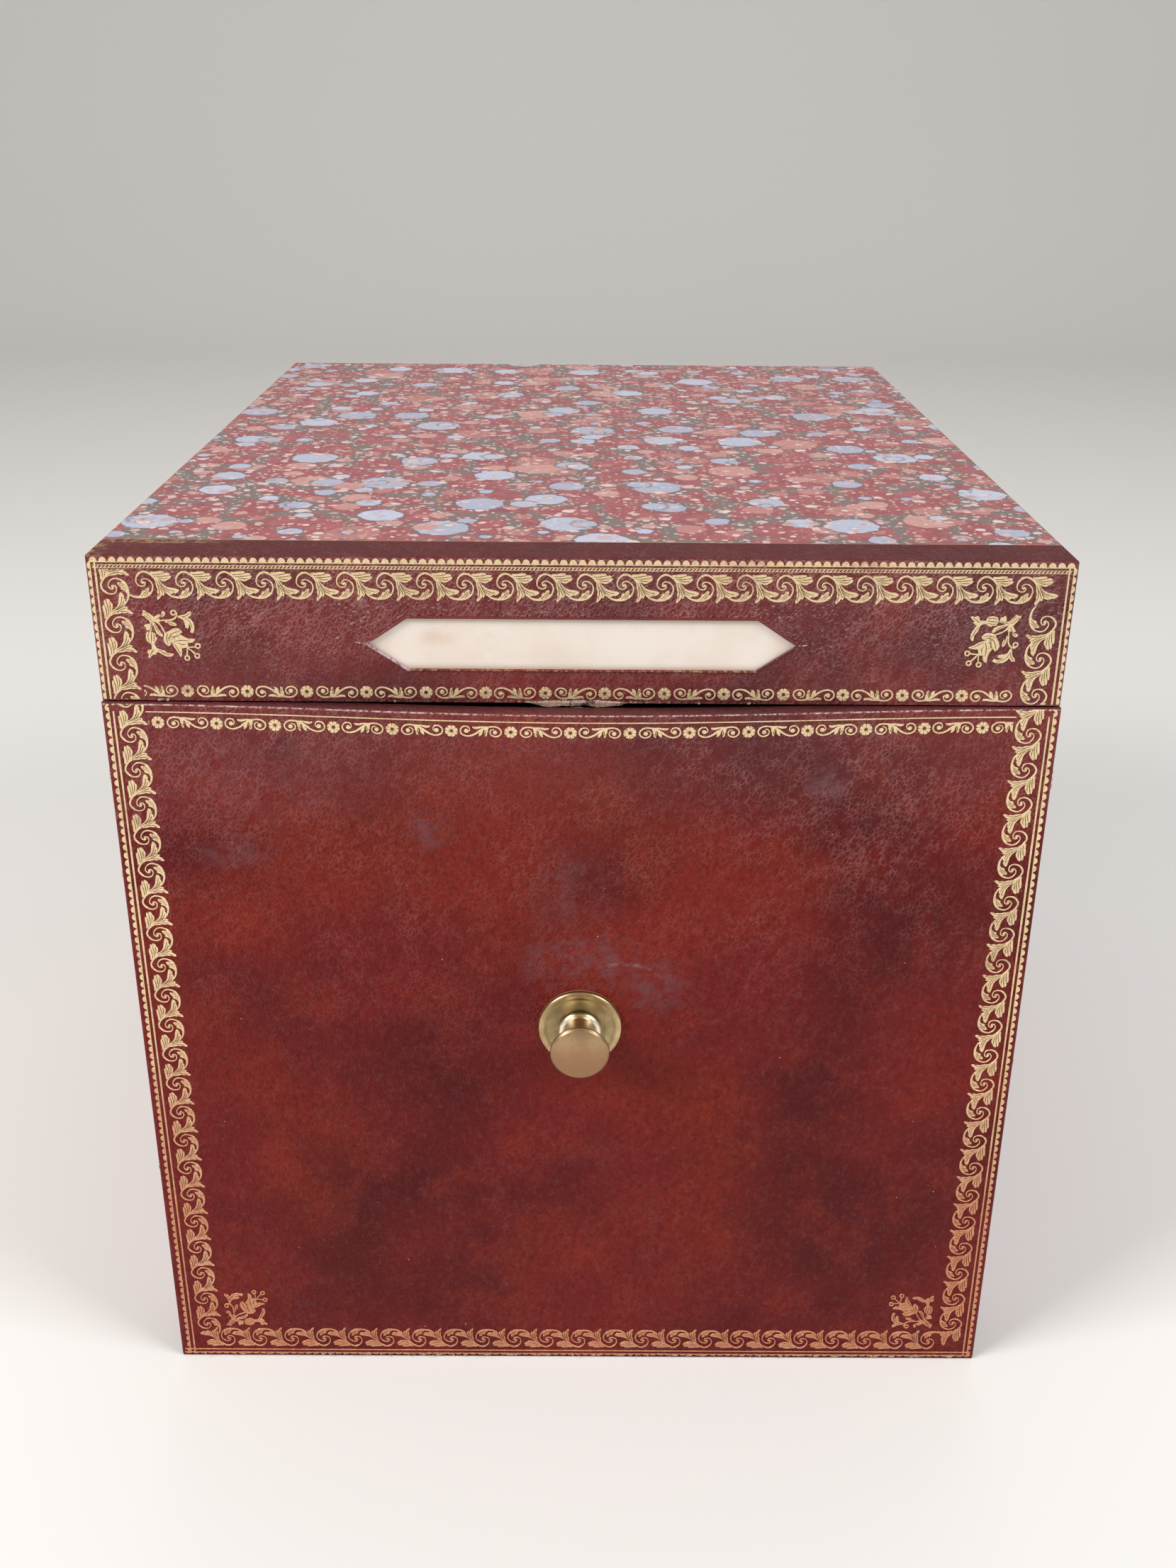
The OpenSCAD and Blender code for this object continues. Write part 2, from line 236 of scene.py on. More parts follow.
lidWearAndGlint = {  # where each kind of wear, and the painted glint at the right, starts and is full, as x in mm across the lid
    "glintRight": (86.0, 112.0),
    "goldBeside": (-94.0, -116.0),
    "goldCorner": (-129.0, -134.0),
    "wornMiddle": (34.0, 12.0),
}


def lidFaceLeather(lidTop, rim, seam):  # seam is where the leather ends on the top
    p, colour, height, shine = leatherPaint("lidLeather", 0.9, (rim, rim + 30.0, 0.26, 0.50), 0.36)
    x, y, z = p.place.axes()
    # Painted highlights: glints on the high grain near the top of the face and beside its right end
    glintStreaks = p.noise(1, 3.0, 0.7, where=p.stretched((0.85, 0.85, 0.42))).rise(0.52, 0.70)
    lit = z.rise(rim + 3.0, rim + 27.0, 0.30, 1.0).most(x.rise(*lidWearAndGlint["glintRight"]) * 0.8)
    patchy = p.noise(9, 3.0, 0.6, shift=(61, 3, 8)).rise(0.38, 0.62, 0.25, 1.0)
    colour = p.mix(glintStreaks * lit * patchy * 0.46, colour, leather["glint"])
    height = height * z.rise(rim + 2.0, rim + 20.0, 0.45, 1.0)
    # Gold is left on the rubbed front edge of the top, most at its left corner
    onTop = z.rise(lidTop - 0.7, lidTop - 0.1)
    # Painted shade: the top return is darker
    colour = p.mix(onTop * 0.7, colour, leather["deep"])
    ragged = p.noise(2.4, 5.0, 0.75)
    beside = (y - (seam - 2.0)).size().rise(2.6, 0.6) * x.rise(*lidWearAndGlint["goldBeside"])
    corner = ragged.rise(0.44, 0.58) * beside.most(x.rise(*lidWearAndGlint["goldCorner"])) * onTop
    colour = p.mix(corner * 0.7, colour, leather["gold"])
    worn = p.noise(1.2, 4.0, 0.7, shift=(5, 5, 5)).rise(0.46, 0.60) * z.rise(rim + 1.1, rim + 0.2)
    worn = worn * (x.size().rise(*lidWearAndGlint["wornMiddle"]) * 0.9 + 0.18)
    colour = p.mix(worn, colour, leather["scuff"])
    return p.finish(Base_Color=colour, Roughness=shine + worn * 0.3 + onTop * 0.3, Normal=p.bump(height, 0.26))


rubbing = {  # pale places on the fall front, rubbed ones and at the upper left a painted sheen: x, z, half width, half height in mm and strength
    "topRight": (70.4, 215.5, 9.0, 6.5, 0.85),
    "topLeft": (-43.9, 199.8, 8.0, 8.5, 0.6),
    "left": (-100.8, 191.8, 14.0, 8.0, 0.5),
    "aboveKnob": (0.3, 155.0, 23.0, 12.0, 0.75),
    "besideKnob": (22.5, 146.5, 13.0, 12.0, 0.62),
    "overKnob": (-3.0, 178.0, 15.0, 22.0, 0.35),
    "upperLeftSheen": (-92.0, 216.0, 42.0, 24.0, 0.30),
    "lowStreak": (24.5, 60.0, 2.4, 22.0, 0.16),
    "lowMiddle": (6.0, 84.0, 12.0, 9.0, 0.10),
}


knobMarks = {  # the arc that the knob has rubbed above it and the dark patch below it, as x and z in mm
    "arcAt": (13.0, 139.0),
    "arcRadius": 15.5,
    "arcAbove": (145.0, 150.0),
    "arcFrom": (4.0, 12.0),
    "darkAt": (6.0, 119.0),
    "darkHalf": (30.0, 13.0),
}


def frontFaceLeather(top):
    p, colour, height, shine = leatherPaint("frontLeather", 0.6, (115.0, 245.0, 0.09, 0.52), 0.11)
    x, y, z = p.place.axes()
    warmth = p.noise(64, 2.0, 0.5, shift=(11, 0, 60)).rise(0.42, 0.66)
    warmth = warmth * z.rise(10.0, 120.0, 0.22, 0.9) * x.rise(125.0, 40.0, 0.3, 1.0)
    colour = p.mix(warmth * 0.55, colour, leather["warm"])
    pebbles = p.noise(1, 3.0, 0.6, where=p.stretched((1.3, 1.3, 1.7), (3, 8, 1)))
    colour = p.mix(pebbles.rise(0.50, 0.36) * 0.45, colour, leather["deep"])
    # The pale flecks are painted highlights on the grain, the dark ones a darker grain tone
    flecks = p.noise(1, 4.0, 0.75, where=p.stretched((1.5, 1.5, 2.2)))
    colour = p.mix(flecks.rise(0.50, 0.74) * 0.11, colour, leather["bloomAndHighlight"])
    colour = p.mix(flecks.rise(0.46, 0.26) * 0.40, colour, leather["deep"])
    # Painted light: the face is paler towards its top
    colour = p.mix(z.rise(190.0, 236.0) * 0.09, colour, leather["bloomAndHighlight"])
    dusty = p.noise(6, 5.0, 0.72, shift=(0, 0, 17)).rise(0.36, 0.70)
    rubsAndSheen = p.noise(15, 6.0, 0.74, shift=(77, 3, 9)).rise(0.60, 0.84) * 0.26
    for midX, midZ, wide, high, strength in rubbing.values():
        reach = (((x - midX) / wide) ** 2.0 + ((z - midZ) / high) ** 2.0) ** 0.5
        rubsAndSheen = rubsAndSheen.most(reach.rise(1.15, 0.25) * dusty * strength)
    # Pale rubbed places, and a painted sheen at the upper left
    colour = p.mix(rubsAndSheen, colour, leather["rubAndSheen"])
    arcX, arcZ = knobMarks["arcAt"]
    arc = (((x - arcX) ** 2.0 + (z - arcZ) ** 2.0) ** 0.5 - knobMarks["arcRadius"]).size().rise(1.1, 0.2)
    arc = arc * z.rise(*knobMarks["arcAbove"]) * x.rise(*knobMarks["arcFrom"])
    colour = p.mix(arc * dusty * 0.4, colour, leather["scuff"])
    darkX, darkZ = knobMarks["darkAt"]
    wide, high = knobMarks["darkHalf"]
    under = (((x - darkX) / wide) ** 2.0 + ((z - darkZ) / high) ** 2.0).rise(1.2, 0.1)
    colour = p.mix(under * 0.35, colour, leather["deep"])
    specks = p.cells(p.stretched((9.0, 9.0, 9.0), (9, 4, 2))).rise(0.024, 0.015)
    colour = p.mix(specks * 0.8, colour, leather["dustAndGlint"])
    # The top of the fall front is painted dark as shade, and along its front edge bright beads are painted, partly
    # wear and partly a painted glint
    colour = p.mix(z.rise(top - 0.16, top - 0.03) * 0.6, colour, leather["shaded"])
    arris = z.rise(top - 0.62, top - 0.34) * z.rise(top - 0.10, top - 0.24)
    glintBeads = p.noise(1.1, 4.0, 0.7, shift=(0, 40, 0)).rise(0.40, 0.62)
    colour = p.mix(arris * glintBeads * 0.8, colour, leather["dustAndGlint"])
    return p.finish(Base_Color=colour, Roughness=shine + rubsAndSheen * 0.25, Normal=p.bump(height, 0.34))


# Gilt: gold leaf pressed into the leather, painted pale at the top and darker and coppery lower down as painted light

gilt = {
    "pale": (0.84, 0.655, 0.385),
    "bright": (0.92, 0.80, 0.56),
    "copper": (0.585, 0.235, 0.120),
    "shade": (0.44, 0.285, 0.14),
    "bare": (0.20, 0.055, 0.035),
    "paleFrom": 190.0,
    "copperFrom": 40.0,
    "metal": 0.72,
}


def giltPaint():
    p = Paint("giltTooling", Specular_IOR_Level=0.5)
    z = p.place.axes()[2]
    patches = p.noise(26, 3.0, 0.6, shift=(40, 0, 11))
    mottle = p.noise(1.5, 4.0, 0.7)
    lost = p.noise(0.7, 4.0, 0.75, shift=(4, 4, 4)).rise(0.60, 0.70)
    # Painted light: paler high up, darker and coppery low down
    share = (z.rise(gilt["paleFrom"], gilt["copperFrom"]) * 0.9 + (patches - 0.5) * 0.9).rise(0.0, 1.0)
    colour = p.mix(share, gilt["pale"], gilt["copper"])
    # Bright and shaded small patches are painted highlight and painted shade for the relief of the tooling
    colour = p.mix(mottle.rise(0.46, 0.70) * (0.6 - share * 0.35), colour, gilt["bright"])
    colour = p.mix(p.noise(0.9, 3.0, 0.6, shift=(7, 7, 7)).rise(0.52, 0.66) * 0.45, colour, gilt["shade"])
    bare = (lost * 0.6).most((patches + (mottle - 0.5) * 0.7).rise(0.62, 0.74) * 0.45)
    colour = p.mix(bare, colour, gilt["bare"])
    return p.finish(Base_Color=colour, Metallic=(1 - bare) * gilt["metal"], Roughness=0.28 + mottle * 0.2,
                    Normal=p.bump(mottle + p.noise(0.45, 2.0), 0.16))


# Marbled paper: colours dropped one after another on the size, each pushing back the one before

marble = {
    "ground": (0.35, 0.080, 0.088),
    "deepGround": (0.245, 0.046, 0.054),
    "paleGround": (0.47, 0.170, 0.175),
    "grey": (0.165, 0.128, 0.118),
    "ochre": (0.36, 0.24, 0.10),
    "salmon": (0.42, 0.155, 0.140),
    "paleSalmon": (0.52, 0.265, 0.235),
    "blue": (0.36, 0.390, 0.510),
    "paleBlue": (0.47, 0.505, 0.620),
    "cream": (0.70, 0.56, 0.55),
    "line": (0.12, 0.095, 0.110),
    "edge": (0.30, 0.17, 0.075),
    "caseShift": (57.0, 31.0),
}
# Layers of drops: cell size and radii in mm, share is how many of the cells have one
salmonTints = ("salmon", "paleSalmon")
blueTints = ("blue", "paleBlue")
drops = [
    dict(cell=24.0, small=3.5, large=8.5, share=0.48, tints=salmonTints, outline=0.12, ragged=0.42),
    dict(cell=13.0, small=1.6, large=4.4, share=0.50, tints=salmonTints, outline=0.08, ragged=0.42),
    dict(cell=30.0, small=4.8, large=8.2, share=0.80, tints=blueTints, outline=0.80, ragged=0.36),
    dict(cell=17.0, small=1.8, large=4.2, share=0.55, tints=blueTints, outline=0.65, ragged=0.40),
    dict(cell=27.0, small=2.6, large=5.4, share=0.34, tints=salmonTints, outline=0.10, ragged=0.46),
    dict(cell=9.0, small=0.9, large=2.2, share=0.45, tints=("paleSalmon", "cream"), outline=0.20, ragged=0.46),
]
sprinkle = [  # the finest drops, their radii as shares of the cell
    dict(cell=4.3, least=0.10, most=0.34, share=0.50),
    dict(cell=2.5, least=0.08, most=0.30, share=0.52),
]


def marblePaint(lidTop, rim, back, half, seam):
    p = Paint("marbledPaper", Specular_IOR_Level=0.36)
    x, y, z = p.place.axes()
    # The sheet is unrolled over the edges, and the sheets on the case are other ones than the lid's
    facing = p.add("ShaderNodeTexCoord", {}, {}, "Normal")
    faceX, faceY, _ = facing.axes()
    down = lidTop - z
    onCase = z < rim - 0.2
    across = x + (faceX.size() > 0.7) * x.sign() * down + onCase * marble["caseShift"][0]
    along = y + (faceY > 0.7) * down + onCase * marble["caseShift"][1]
    sheet = p.joined(across, along)
    fine = p.warped(p.vector("SCALE", sheet, Scale=1 / 3.0), 0.9, 1.2, 3.0)
    broad = p.vector("SCALE", fine, Scale=3.0)

    mottle = p.noise(1, 4.0, 0.65, where=p.vector("SCALE", sheet, Scale=1 / 7.0))
    wash = p.noise(1, 5.0, 0.72, where=p.vector("SCALE", sheet, Scale=1 / 4.5))
    colour = p.mix(mottle.rise(0.36, 0.70), marble["ground"], marble["deepGround"])
    colour = p.mix(wash.rise(0.50, 0.72) * 0.5, colour, marble["paleGround"])
    field = p.noise(1, 4.0, 0.62, where=p.vector("SCALE", sheet, Scale=1 / 27.0))
    veins = p.cells(p.vector("SCALE", broad, Scale=1 / 21.0), True, "DISTANCE_TO_EDGE")
    grey = (veins + (field - 0.5) * 0.9 + (mottle - 0.5) * 0.35).rise(0.15, 0.05).most(field.rise(0.365, 0.315))
    tint = p.mix(p.noise(1, 3.0, where=p.vector("SCALE", sheet, Scale=1 / 13.0)).rise(0.62, 0.68),
                 marble["grey"], marble["ochre"])
    colour = p.mix(grey * mottle.rise(0.28, 0.48, 0.6, 1.0), colour, tint)
    threads = p.cells(p.vector("SCALE", broad, Scale=1 / 8.0), True, "DISTANCE_TO_EDGE")
    colour = p.mix(threads.rise(0.040, 0.012) * 0.5 * grey.rise(0.0, 1.0, 0.3, 1.0), colour, marble["line"])
    for i, layer in enumerate(drops):
        cell = layer["cell"]
        where = p.vector("ADD", p.vector("SCALE", broad, Scale=1 / cell), (3.7 * i, 1.9 * i, 0.0))
        drop = p.cells(where, True, loose=0.85)
        pick, tone, amount = drop.output("Color").axes()
        uneven = (mottle - 0.5) * (layer["ragged"] * layer["large"] / cell)
        radius = amount.rise(0.0, 1.0, layer["small"] / cell, layer["large"] / cell) + uneven
        inside = radius - drop
        there = pick < layer["share"]
        soft = 0.5 / cell
        colour = p.mix(inside.rise(-3.0 * soft, 0.0) * there * layer["outline"], colour, marble["line"])
        first, second = layer["tints"]
        tinted = p.mix((tone + (wash - 0.5) * 0.9).rise(0.2, 0.8), marble[first], marble[second])
        tinted = p.mix(wash.rise(0.50, 0.78) * 0.45, tinted, marble["ground"])
        colour = p.mix(inside.rise(0.0, soft) * there, colour, tinted)
    for layer in sprinkle:
        drop = p.cells(p.vector("SCALE", broad, Scale=1 / layer["cell"]), True)
        pick, tone, amount = drop.output("Color").axes()
        there = pick < layer["share"] + grey * 0.30
        inside = amount.rise(0.0, 1.0, layer["least"], layer["most"]) - drop
        speck = p.mix(tone, marble["paleSalmon"], marble["cream"])
        colour = p.mix(inside.rise(0.0, 0.07) * there * 0.92, colour, speck)
    # Rubbed edges, and the stained cut edge of the sheet beside the leather
    top = z.rise(lidTop - 2.2, lidTop - 0.4)
    upright = (half - x.size()).rise(1.4, 0.2) * (back - y).rise(1.4, 0.2)
    arris = ((half - x.size()).rise(1.7, 0.2).most((back - y).rise(1.7, 0.2)) * top).most(upright)
    rub = arris * mottle.rise(0.38, 0.58)
    cut = (y - seam).rise(0.9, 0.1) * (0.4 + mottle * 0.9)
    colour = p.mix((rub * 0.75).most(cut * 0.8), colour, marble["edge"])
    fibre = p.noise(0.8, 3.0, 0.6)
    waves = p.noise(38, 2.0, 0.5, shift=(1, 2, 3))
    return p.finish(Base_Color=colour, Roughness=0.34 + fibre * 0.12 + rub * 0.3,
                    Normal=p.bump(fibre * 0.10 + waves * 1.2, 0.30))


lining = {"pale": (0.72, 0.61, 0.43), "dull": (0.62, 0.50, 0.33), "foxing": (0.36, 0.22, 0.11),
          "fibre": (0.80, 0.72, 0.56)}


def liningPaint():
    p = Paint("liningPaper", Specular_IOR_Level=0.3)
    tone = p.noise(40, 4.0, 0.6)
    fibre = p.noise(0.7, 4.0, 0.65)
    foxing = p.cells(p.warped(p.stretched((13, 13, 13)), 0.6, 0.4)).rise(0.16, 0.05)
    foxing = foxing * p.noise(30, 2.0, shift=(3, 3, 3)).rise(0.5, 0.62)
    colour = p.mix(tone.rise(0.3, 0.75), lining["pale"], lining["dull"])
    colour = p.mix(foxing * 0.55, colour, lining["foxing"])
    colour = p.mix(fibre.rise(0.4, 0.7) * 0.18, colour, lining["fibre"])
    return p.finish(Base_Color=colour, Roughness=0.78 + fibre * 0.1, Normal=p.bump(fibre + tone * 2.0, 0.10))


card = {"fresh": (0.775, 0.690, 0.625), "aged": (0.73, 0.63, 0.55), "stain": (0.56, 0.38, 0.25),
        "rim": (0.58, 0.43, 0.32), "stainAt": (-41.0, 1.8), "stainHalf": (6.0, 3.2)}


def cardPaint():
    p = Paint("labelCard", Specular_IOR_Level=0.4)
    x, y, z = p.place.axes()
    tone = p.noise(26, 4.0, 0.6)
    fibre = p.noise(0.6, 4.0, 0.6)
    smudge = p.noise(8, 5.0, 0.72, shift=(9, 9, 9))
    colour = p.mix(tone.rise(0.38, 0.66), card["fresh"], card["aged"])
    stainX, stainZ = card["stainAt"]
    wide, high = card["stainHalf"]
    spot = (((x - stainX) / wide) ** 2.0 + ((z - window["middle"] - stainZ) / high) ** 2.0) ** 0.5
    stain = (spot + (smudge - 0.5) * 1.8).rise(1.15, 0.15)
    colour = p.mix(stain * 0.38, colour, card["stain"])
    colour = p.mix(smudge.rise(0.56, 0.74) * 0.22, colour, card["stain"])
    rim = (x.size() - 50.0).rise(0.0, 8.0).most((z - window["middle"]).size().rise(5.2, 7.4))
    colour = p.mix(rim * 0.42, colour, card["rim"])
    return p.finish(Base_Color=colour, Roughness=0.55 + fibre * 0.12, Normal=p.bump(fibre + tone * 3.0, 0.06))


board = {"pale": (0.32, 0.265, 0.195), "dark": (0.22, 0.175, 0.13), "fibre": (0.42, 0.35, 0.27)}


def boardPaint():
    p = Paint("greyBoard", Specular_IOR_Level=0.2)
    layers = p.noise(1, 3.0, 0.6, where=p.stretched((2.0, 2.0, 0.5)))
    fibre = p.noise(0.4, 4.0, 0.7)
    colour = p.mix(layers.rise(0.3, 0.7), board["pale"], board["dark"])
    colour = p.mix(fibre.rise(0.45, 0.7) * 0.4, colour, board["fibre"])
    return p.finish(Base_Color=colour, Roughness=0.9, Normal=p.bump(fibre + layers, 0.16))


brass = {
    "bright": (0.60, 0.455, 0.250),
    "aged": (0.43, 0.300, 0.150),
    "tarnish": (0.17, 0.110, 0.055),
    "neckHighlight": (0.95, 0.88, 0.72),
    "olive": (0.27, 0.215, 0.105),
    "redReflection": (0.345, 0.190, 0.105),
    "axis": 132.4,
    "footRadius": 7.4,
    "roseRadius": 12.85,
    "dish": (12.0, 10.2),
    "dishDepth": (3.4, 2.6),
    "neckStart": (2.2, 3.2),
    "neckEnd": (13.2, 12.2),
    "button": (13.6, 15.4),
}


def brassPaint(face):
    p = Paint("agedBrass")
    x, y, z = p.place.axes()
    out = face - y  # mm out from the leather
    radius = (x * x + (z - brass["axis"]) * (z - brass["axis"])) ** 0.5
    patina = p.noise(6, 4.0, 0.65)
    fine = p.noise(0.9, 4.0, 0.7, shift=(4, 2, 8))
    turning = p.noise(1, 2.0, 0.5, where=p.joined(radius * 4.0, y * 4.0))
    colour = p.mix(patina.rise(0.34, 0.64), brass["bright"], brass["aged"])
    colour = p.mix(fine.rise(0.54, 0.74) * 0.30, colour, brass["tarnish"])
    # The rose is dull inside its bright rim, the neck has painted highlights at its sides, and the button a painted
    # red reflection, stronger lower down
    dish = radius.rise(*brass["dish"]) * out.rise(*brass["dishDepth"])
    colour = p.mix(dish * patina.rise(0.30, 0.60, 0.35, 0.75), colour, brass["olive"])
    neck = out.rise(*brass["neckEnd"]) * out.rise(*brass["neckStart"])
    colour = p.mix(neck * x.size().rise(0.8, 3.2) * 0.85, colour, brass["neckHighlight"])
    button = out.rise(*brass["button"])
    colour = p.mix(button * (z - brass["axis"]).rise(9.0, -3.0, 0.45, 0.95), colour, brass["redReflection"])
    # Dirt lies in the corner at the knob's foot and where the rose meets the leather
    dirt = (radius - brass["footRadius"]).size().rise(1.3, 0.0) * out.rise(2.4, 1.7) * 0.5
    dirt = dirt.most((radius - brass["roseRadius"]).size().rise(0.5, 0.05) * out.rise(0.7, 0.1))
    colour = p.mix(dirt * 0.6, colour, brass["tarnish"])
    return p.finish(Base_Color=colour, Metallic=1 - dirt * 0.5,
                    Roughness=0.17 + patina * 0.16 + fine * 0.08 + dirt * 0.3,
                    Normal=p.bump(turning * 0.5 + fine * 0.4, 0.016))


tornSkin = {"dark": (0.20, 0.100, 0.080), "pale": (0.58, 0.42, 0.33), "deep": (0.075, 0.030, 0.030),
            "cutDark": (0.10, 0.022, 0.024), "cutGlint": (0.50, 0.36, 0.37)}


def frayPaint():
    p = Paint("frayedLeather", Specular_IOR_Level=0.2)
    fibre = p.noise(1, 4.0, 0.7, where=p.stretched((0.5, 0.6, 0.22)))
    torn = p.noise(2.2, 4.0, 0.7, shift=(6, 1, 3))
    colour = p.mix(fibre.rise(0.32, 0.58), tornSkin["dark"], tornSkin["pale"])
    colour = p.mix(torn.rise(0.54, 0.62) * 0.85, colour, tornSkin["deep"])
    return p.finish(Base_Color=colour, Roughness=0.85, Normal=p.bump(fibre, 0.14))


def rimPaint():  # the turned edge of the window, glossier along its lower left side, with a painted highlight there
    p, colour, height, shine = leatherPaint("windowEdge", 0.3, (0.0, 300.0, 0.0, 0.0), 0.5)
    x, y, z = p.place.axes()
    corner = -window["straight"] / 2
    foot = window["middle"] - window["high"] / 2
    shineAndGlint = x.rise(corner + 2.0, corner - 1.0) * z.rise(window["middle"] + 1.2, window["middle"] - 0.6)
    worn = p.noise(1.3, 4.0, 0.7, shift=(8, 1, 1))
    colour = p.mix(shineAndGlint * worn.rise(0.30, 0.56) * 0.85, colour, leather["glint"])
    colour = p.mix(z.rise(foot + 0.55, foot + 0.05) * worn.rise(0.46, 0.62) * 0.6, colour, leather["gold"])
    return p.finish(Base_Color=colour, Roughness=shine - shineAndGlint * 0.12, Normal=p.bump(height, 0.3))


def creasePaint():  # the lifted edge of a cut in the leather, dark with painted glints
    p = Paint("leatherCut", Specular_IOR_Level=0.3)
    tone = p.noise(0.7, 3.0).rise(0.40, 0.60)
    return p.finish(Base_Color=p.mix(tone, tornSkin["cutDark"], tornSkin["cutGlint"]), Roughness=0.6)


# Edges that the pieces below are set out from, all in mm

def edges(name):
    low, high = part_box(name)
    return [v / mm for v in low], [v / mm for v in high]


lidLow, lidHigh = edges("lid_leather")
flapLow, flapHigh = edges("front_leather")
paperLow, paperHigh = edges("lid_paper")
half = lidHigh[0]
top = lidHigh[2]
rim = lidLow[2]
seam = lidHigh[1]

# The worn fall front reaches up to the lid, and its inner side has warped a little less than its face
warp = {"depth": 7.2, "from": 145.0, "round": 0.9, "underLid": 0.45, "innerShare": 0.82}
flapTop = rim - warp["underLid"]

window = {"long": 119.5, "straight": 97.0, "high": 15.1, "middle": 255.2, "bead": 0.42, "lump": 0.22,
          "step": 3.0, "sides": 8, "slit": 3.4}

paints = {
    "leather": plainLeather("edgeLeather", rim),
    "lidFace": lidFaceLeather(top, rim, seam),
    "frontFace": frontFaceLeather(flapTop),
    "gilt": giltPaint(),
    "marble": marblePaint(paperHigh[2], paperLow[2], paperHigh[1], paperHigh[0], seam),
    "lining": liningPaint(),
    "card": cardPaint(),
    "board": boardPaint(),
    "brass": brassPaint(flapLow[1]),
    "fray": frayPaint(),
    "rim": rimPaint(),
    "crease": creasePaint(),
}
print("materials made:", len(paints))

dressing = {
    "board": ["base_board", "left_board", "right_board", "back_board", "left_throat", "right_throat",
              "back_throat", "lid_top_board", "lid_front_board", "lid_left_board", "lid_right_board",
              "lid_back_board", "front_board", "front_liner"],
    "marble": ["case_paper", "lid_paper"],
    "lining": ["base_paper", "case_lining", "floor_lining", "lid_lining", "front_lining"],
    "leather": ["left_edge_leather", "right_edge_leather", "front_hinge_leather", "lid_hinge_lower",
                "lid_hinge_upper"],
    "lidFace": ["lid_leather"],
    "frontFace": ["front_leather"],
    "card": ["label_card"],
    "brass": ["knob_rose", "knob", "knob_washer", "knob_nut"],
}
for paint, names in dressing.items():
    for name in names:
        nodes[name].data.materials.clear()
        nodes[name].data.materials.append(paints[paint])
print("frame nodes dressed")


# Mesh helpers

def makePiece(name, points, faces, material, body=None, smooth=True):
    mesh = bpy.data.meshes.new(name)
    mesh.from_pydata([tuple(v) for v in points], [], faces)
    tool = bmesh.new()
    tool.from_mesh(mesh)
    bmesh.ops.delete(tool, geom=[v for v in tool.verts if not v.link_faces], context="VERTS")
    bmesh.ops.recalc_face_normals(tool, faces=tool.faces)
    for face in tool.faces:
        face.smooth = smooth
    tool.to_mesh(mesh)
    tool.free()
    mesh.materials.append(material)
    piece = bpy.data.objects.new(name, mesh)
    bpy.context.scene.collection.objects.link(piece)
    if body:
        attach(piece, body)
    return piece


def joinRings(points, ringSize, faces, closed):  # faces between rings of points that follow one another
    count = len(points) // ringSize
    for i in range(count if closed else count - 1):
        for k in range(ringSize):
            a = i * ringSize
            b = (i + 1) % count * ringSize
            n = (k + 1) % ringSize
            faces.append((a + k, a + n, b + n, b + k))
    if not closed:
        faces.append(tuple(range(ringSize)))
        faces.append(tuple((count - 1) * ringSize + k for k in reversed(range(ringSize))))


# Drawing of the gold tools, flat, in mm; each shape is an outline and whether it is a vein cut out of the gold

def throughPoints(points, steps):
    line = []
    last = len(points) - 1
    for i in range(last):
        p0, p1, p2, p3 = (Vector(points[max(0, min(last, i + k))]) for k in (-1, 0, 1, 2))
        for s in range(steps):
            t = s / steps
            line.append(0.5 * (2 * p1 + (p2 - p0) * t + (2 * p0 - 5 * p1 + 4 * p2 - p3) * t * t
                               + (3 * p1 - p0 - 3 * p2 + p3) * t ** 3))
    line.append(Vector(points[-1]))
    return line


def around(centre, r, sides):
    return [(centre[0] + r * math.cos(2 * math.pi * i / sides), centre[1] + r * math.sin(2 * math.pi * i / sides))
            for i in range(sides)]


def ribbon(points, widths, steps):
    line = throughPoints(points, steps)
    last = len(line) - 1
    left = []
    right = []
    for i, point in enumerate(line):
        along = (line[min(i + 1, last)] - line[max(i - 1, 0)]).normalized()
        side = Vector((-along.y, along.x))
        share = i / last * (len(widths) - 1)
        k = min(int(share), len(widths) - 2)
        width = widths[k] + (widths[k + 1] - widths[k]) * (share - k)
        left.append(point + side * width / 2)
        right.append(point - side * width / 2)
    shapes = [[left[i], right[i], right[i + 1], left[i + 1]] for i in range(last)]
    return shapes + [around(line[0], widths[0] / 2, 8), around(line[-1], widths[-1] / 2, 8)]


def drawTool(tool):  # stems and veins are lines with widths, leaves are outlines, dots and rings have radii
    gold = [list(leaf) for leaf in tool["leaves"]]
    for points, widths in tool["stems"]:
        gold += ribbon(points, widths, 4)
    for centre, r in tool["dots"]:
        gold.append(around(centre, r, 14))
    for centre in tool.get("rings", []):
        outer = around(centre, 0.89, 14)
        inner = around(centre, 0.39, 14)
        gold += [[outer[i - 1], outer[i], inner[i], inner[i - 1]] for i in range(14)]
    veins = [shape for line in tool["veins"] for shape in ribbon(line, [0.06, 0.13, 0.07], 3)]
    return [(shape, False) for shape in gold] + [(shape, True) for shape in veins]


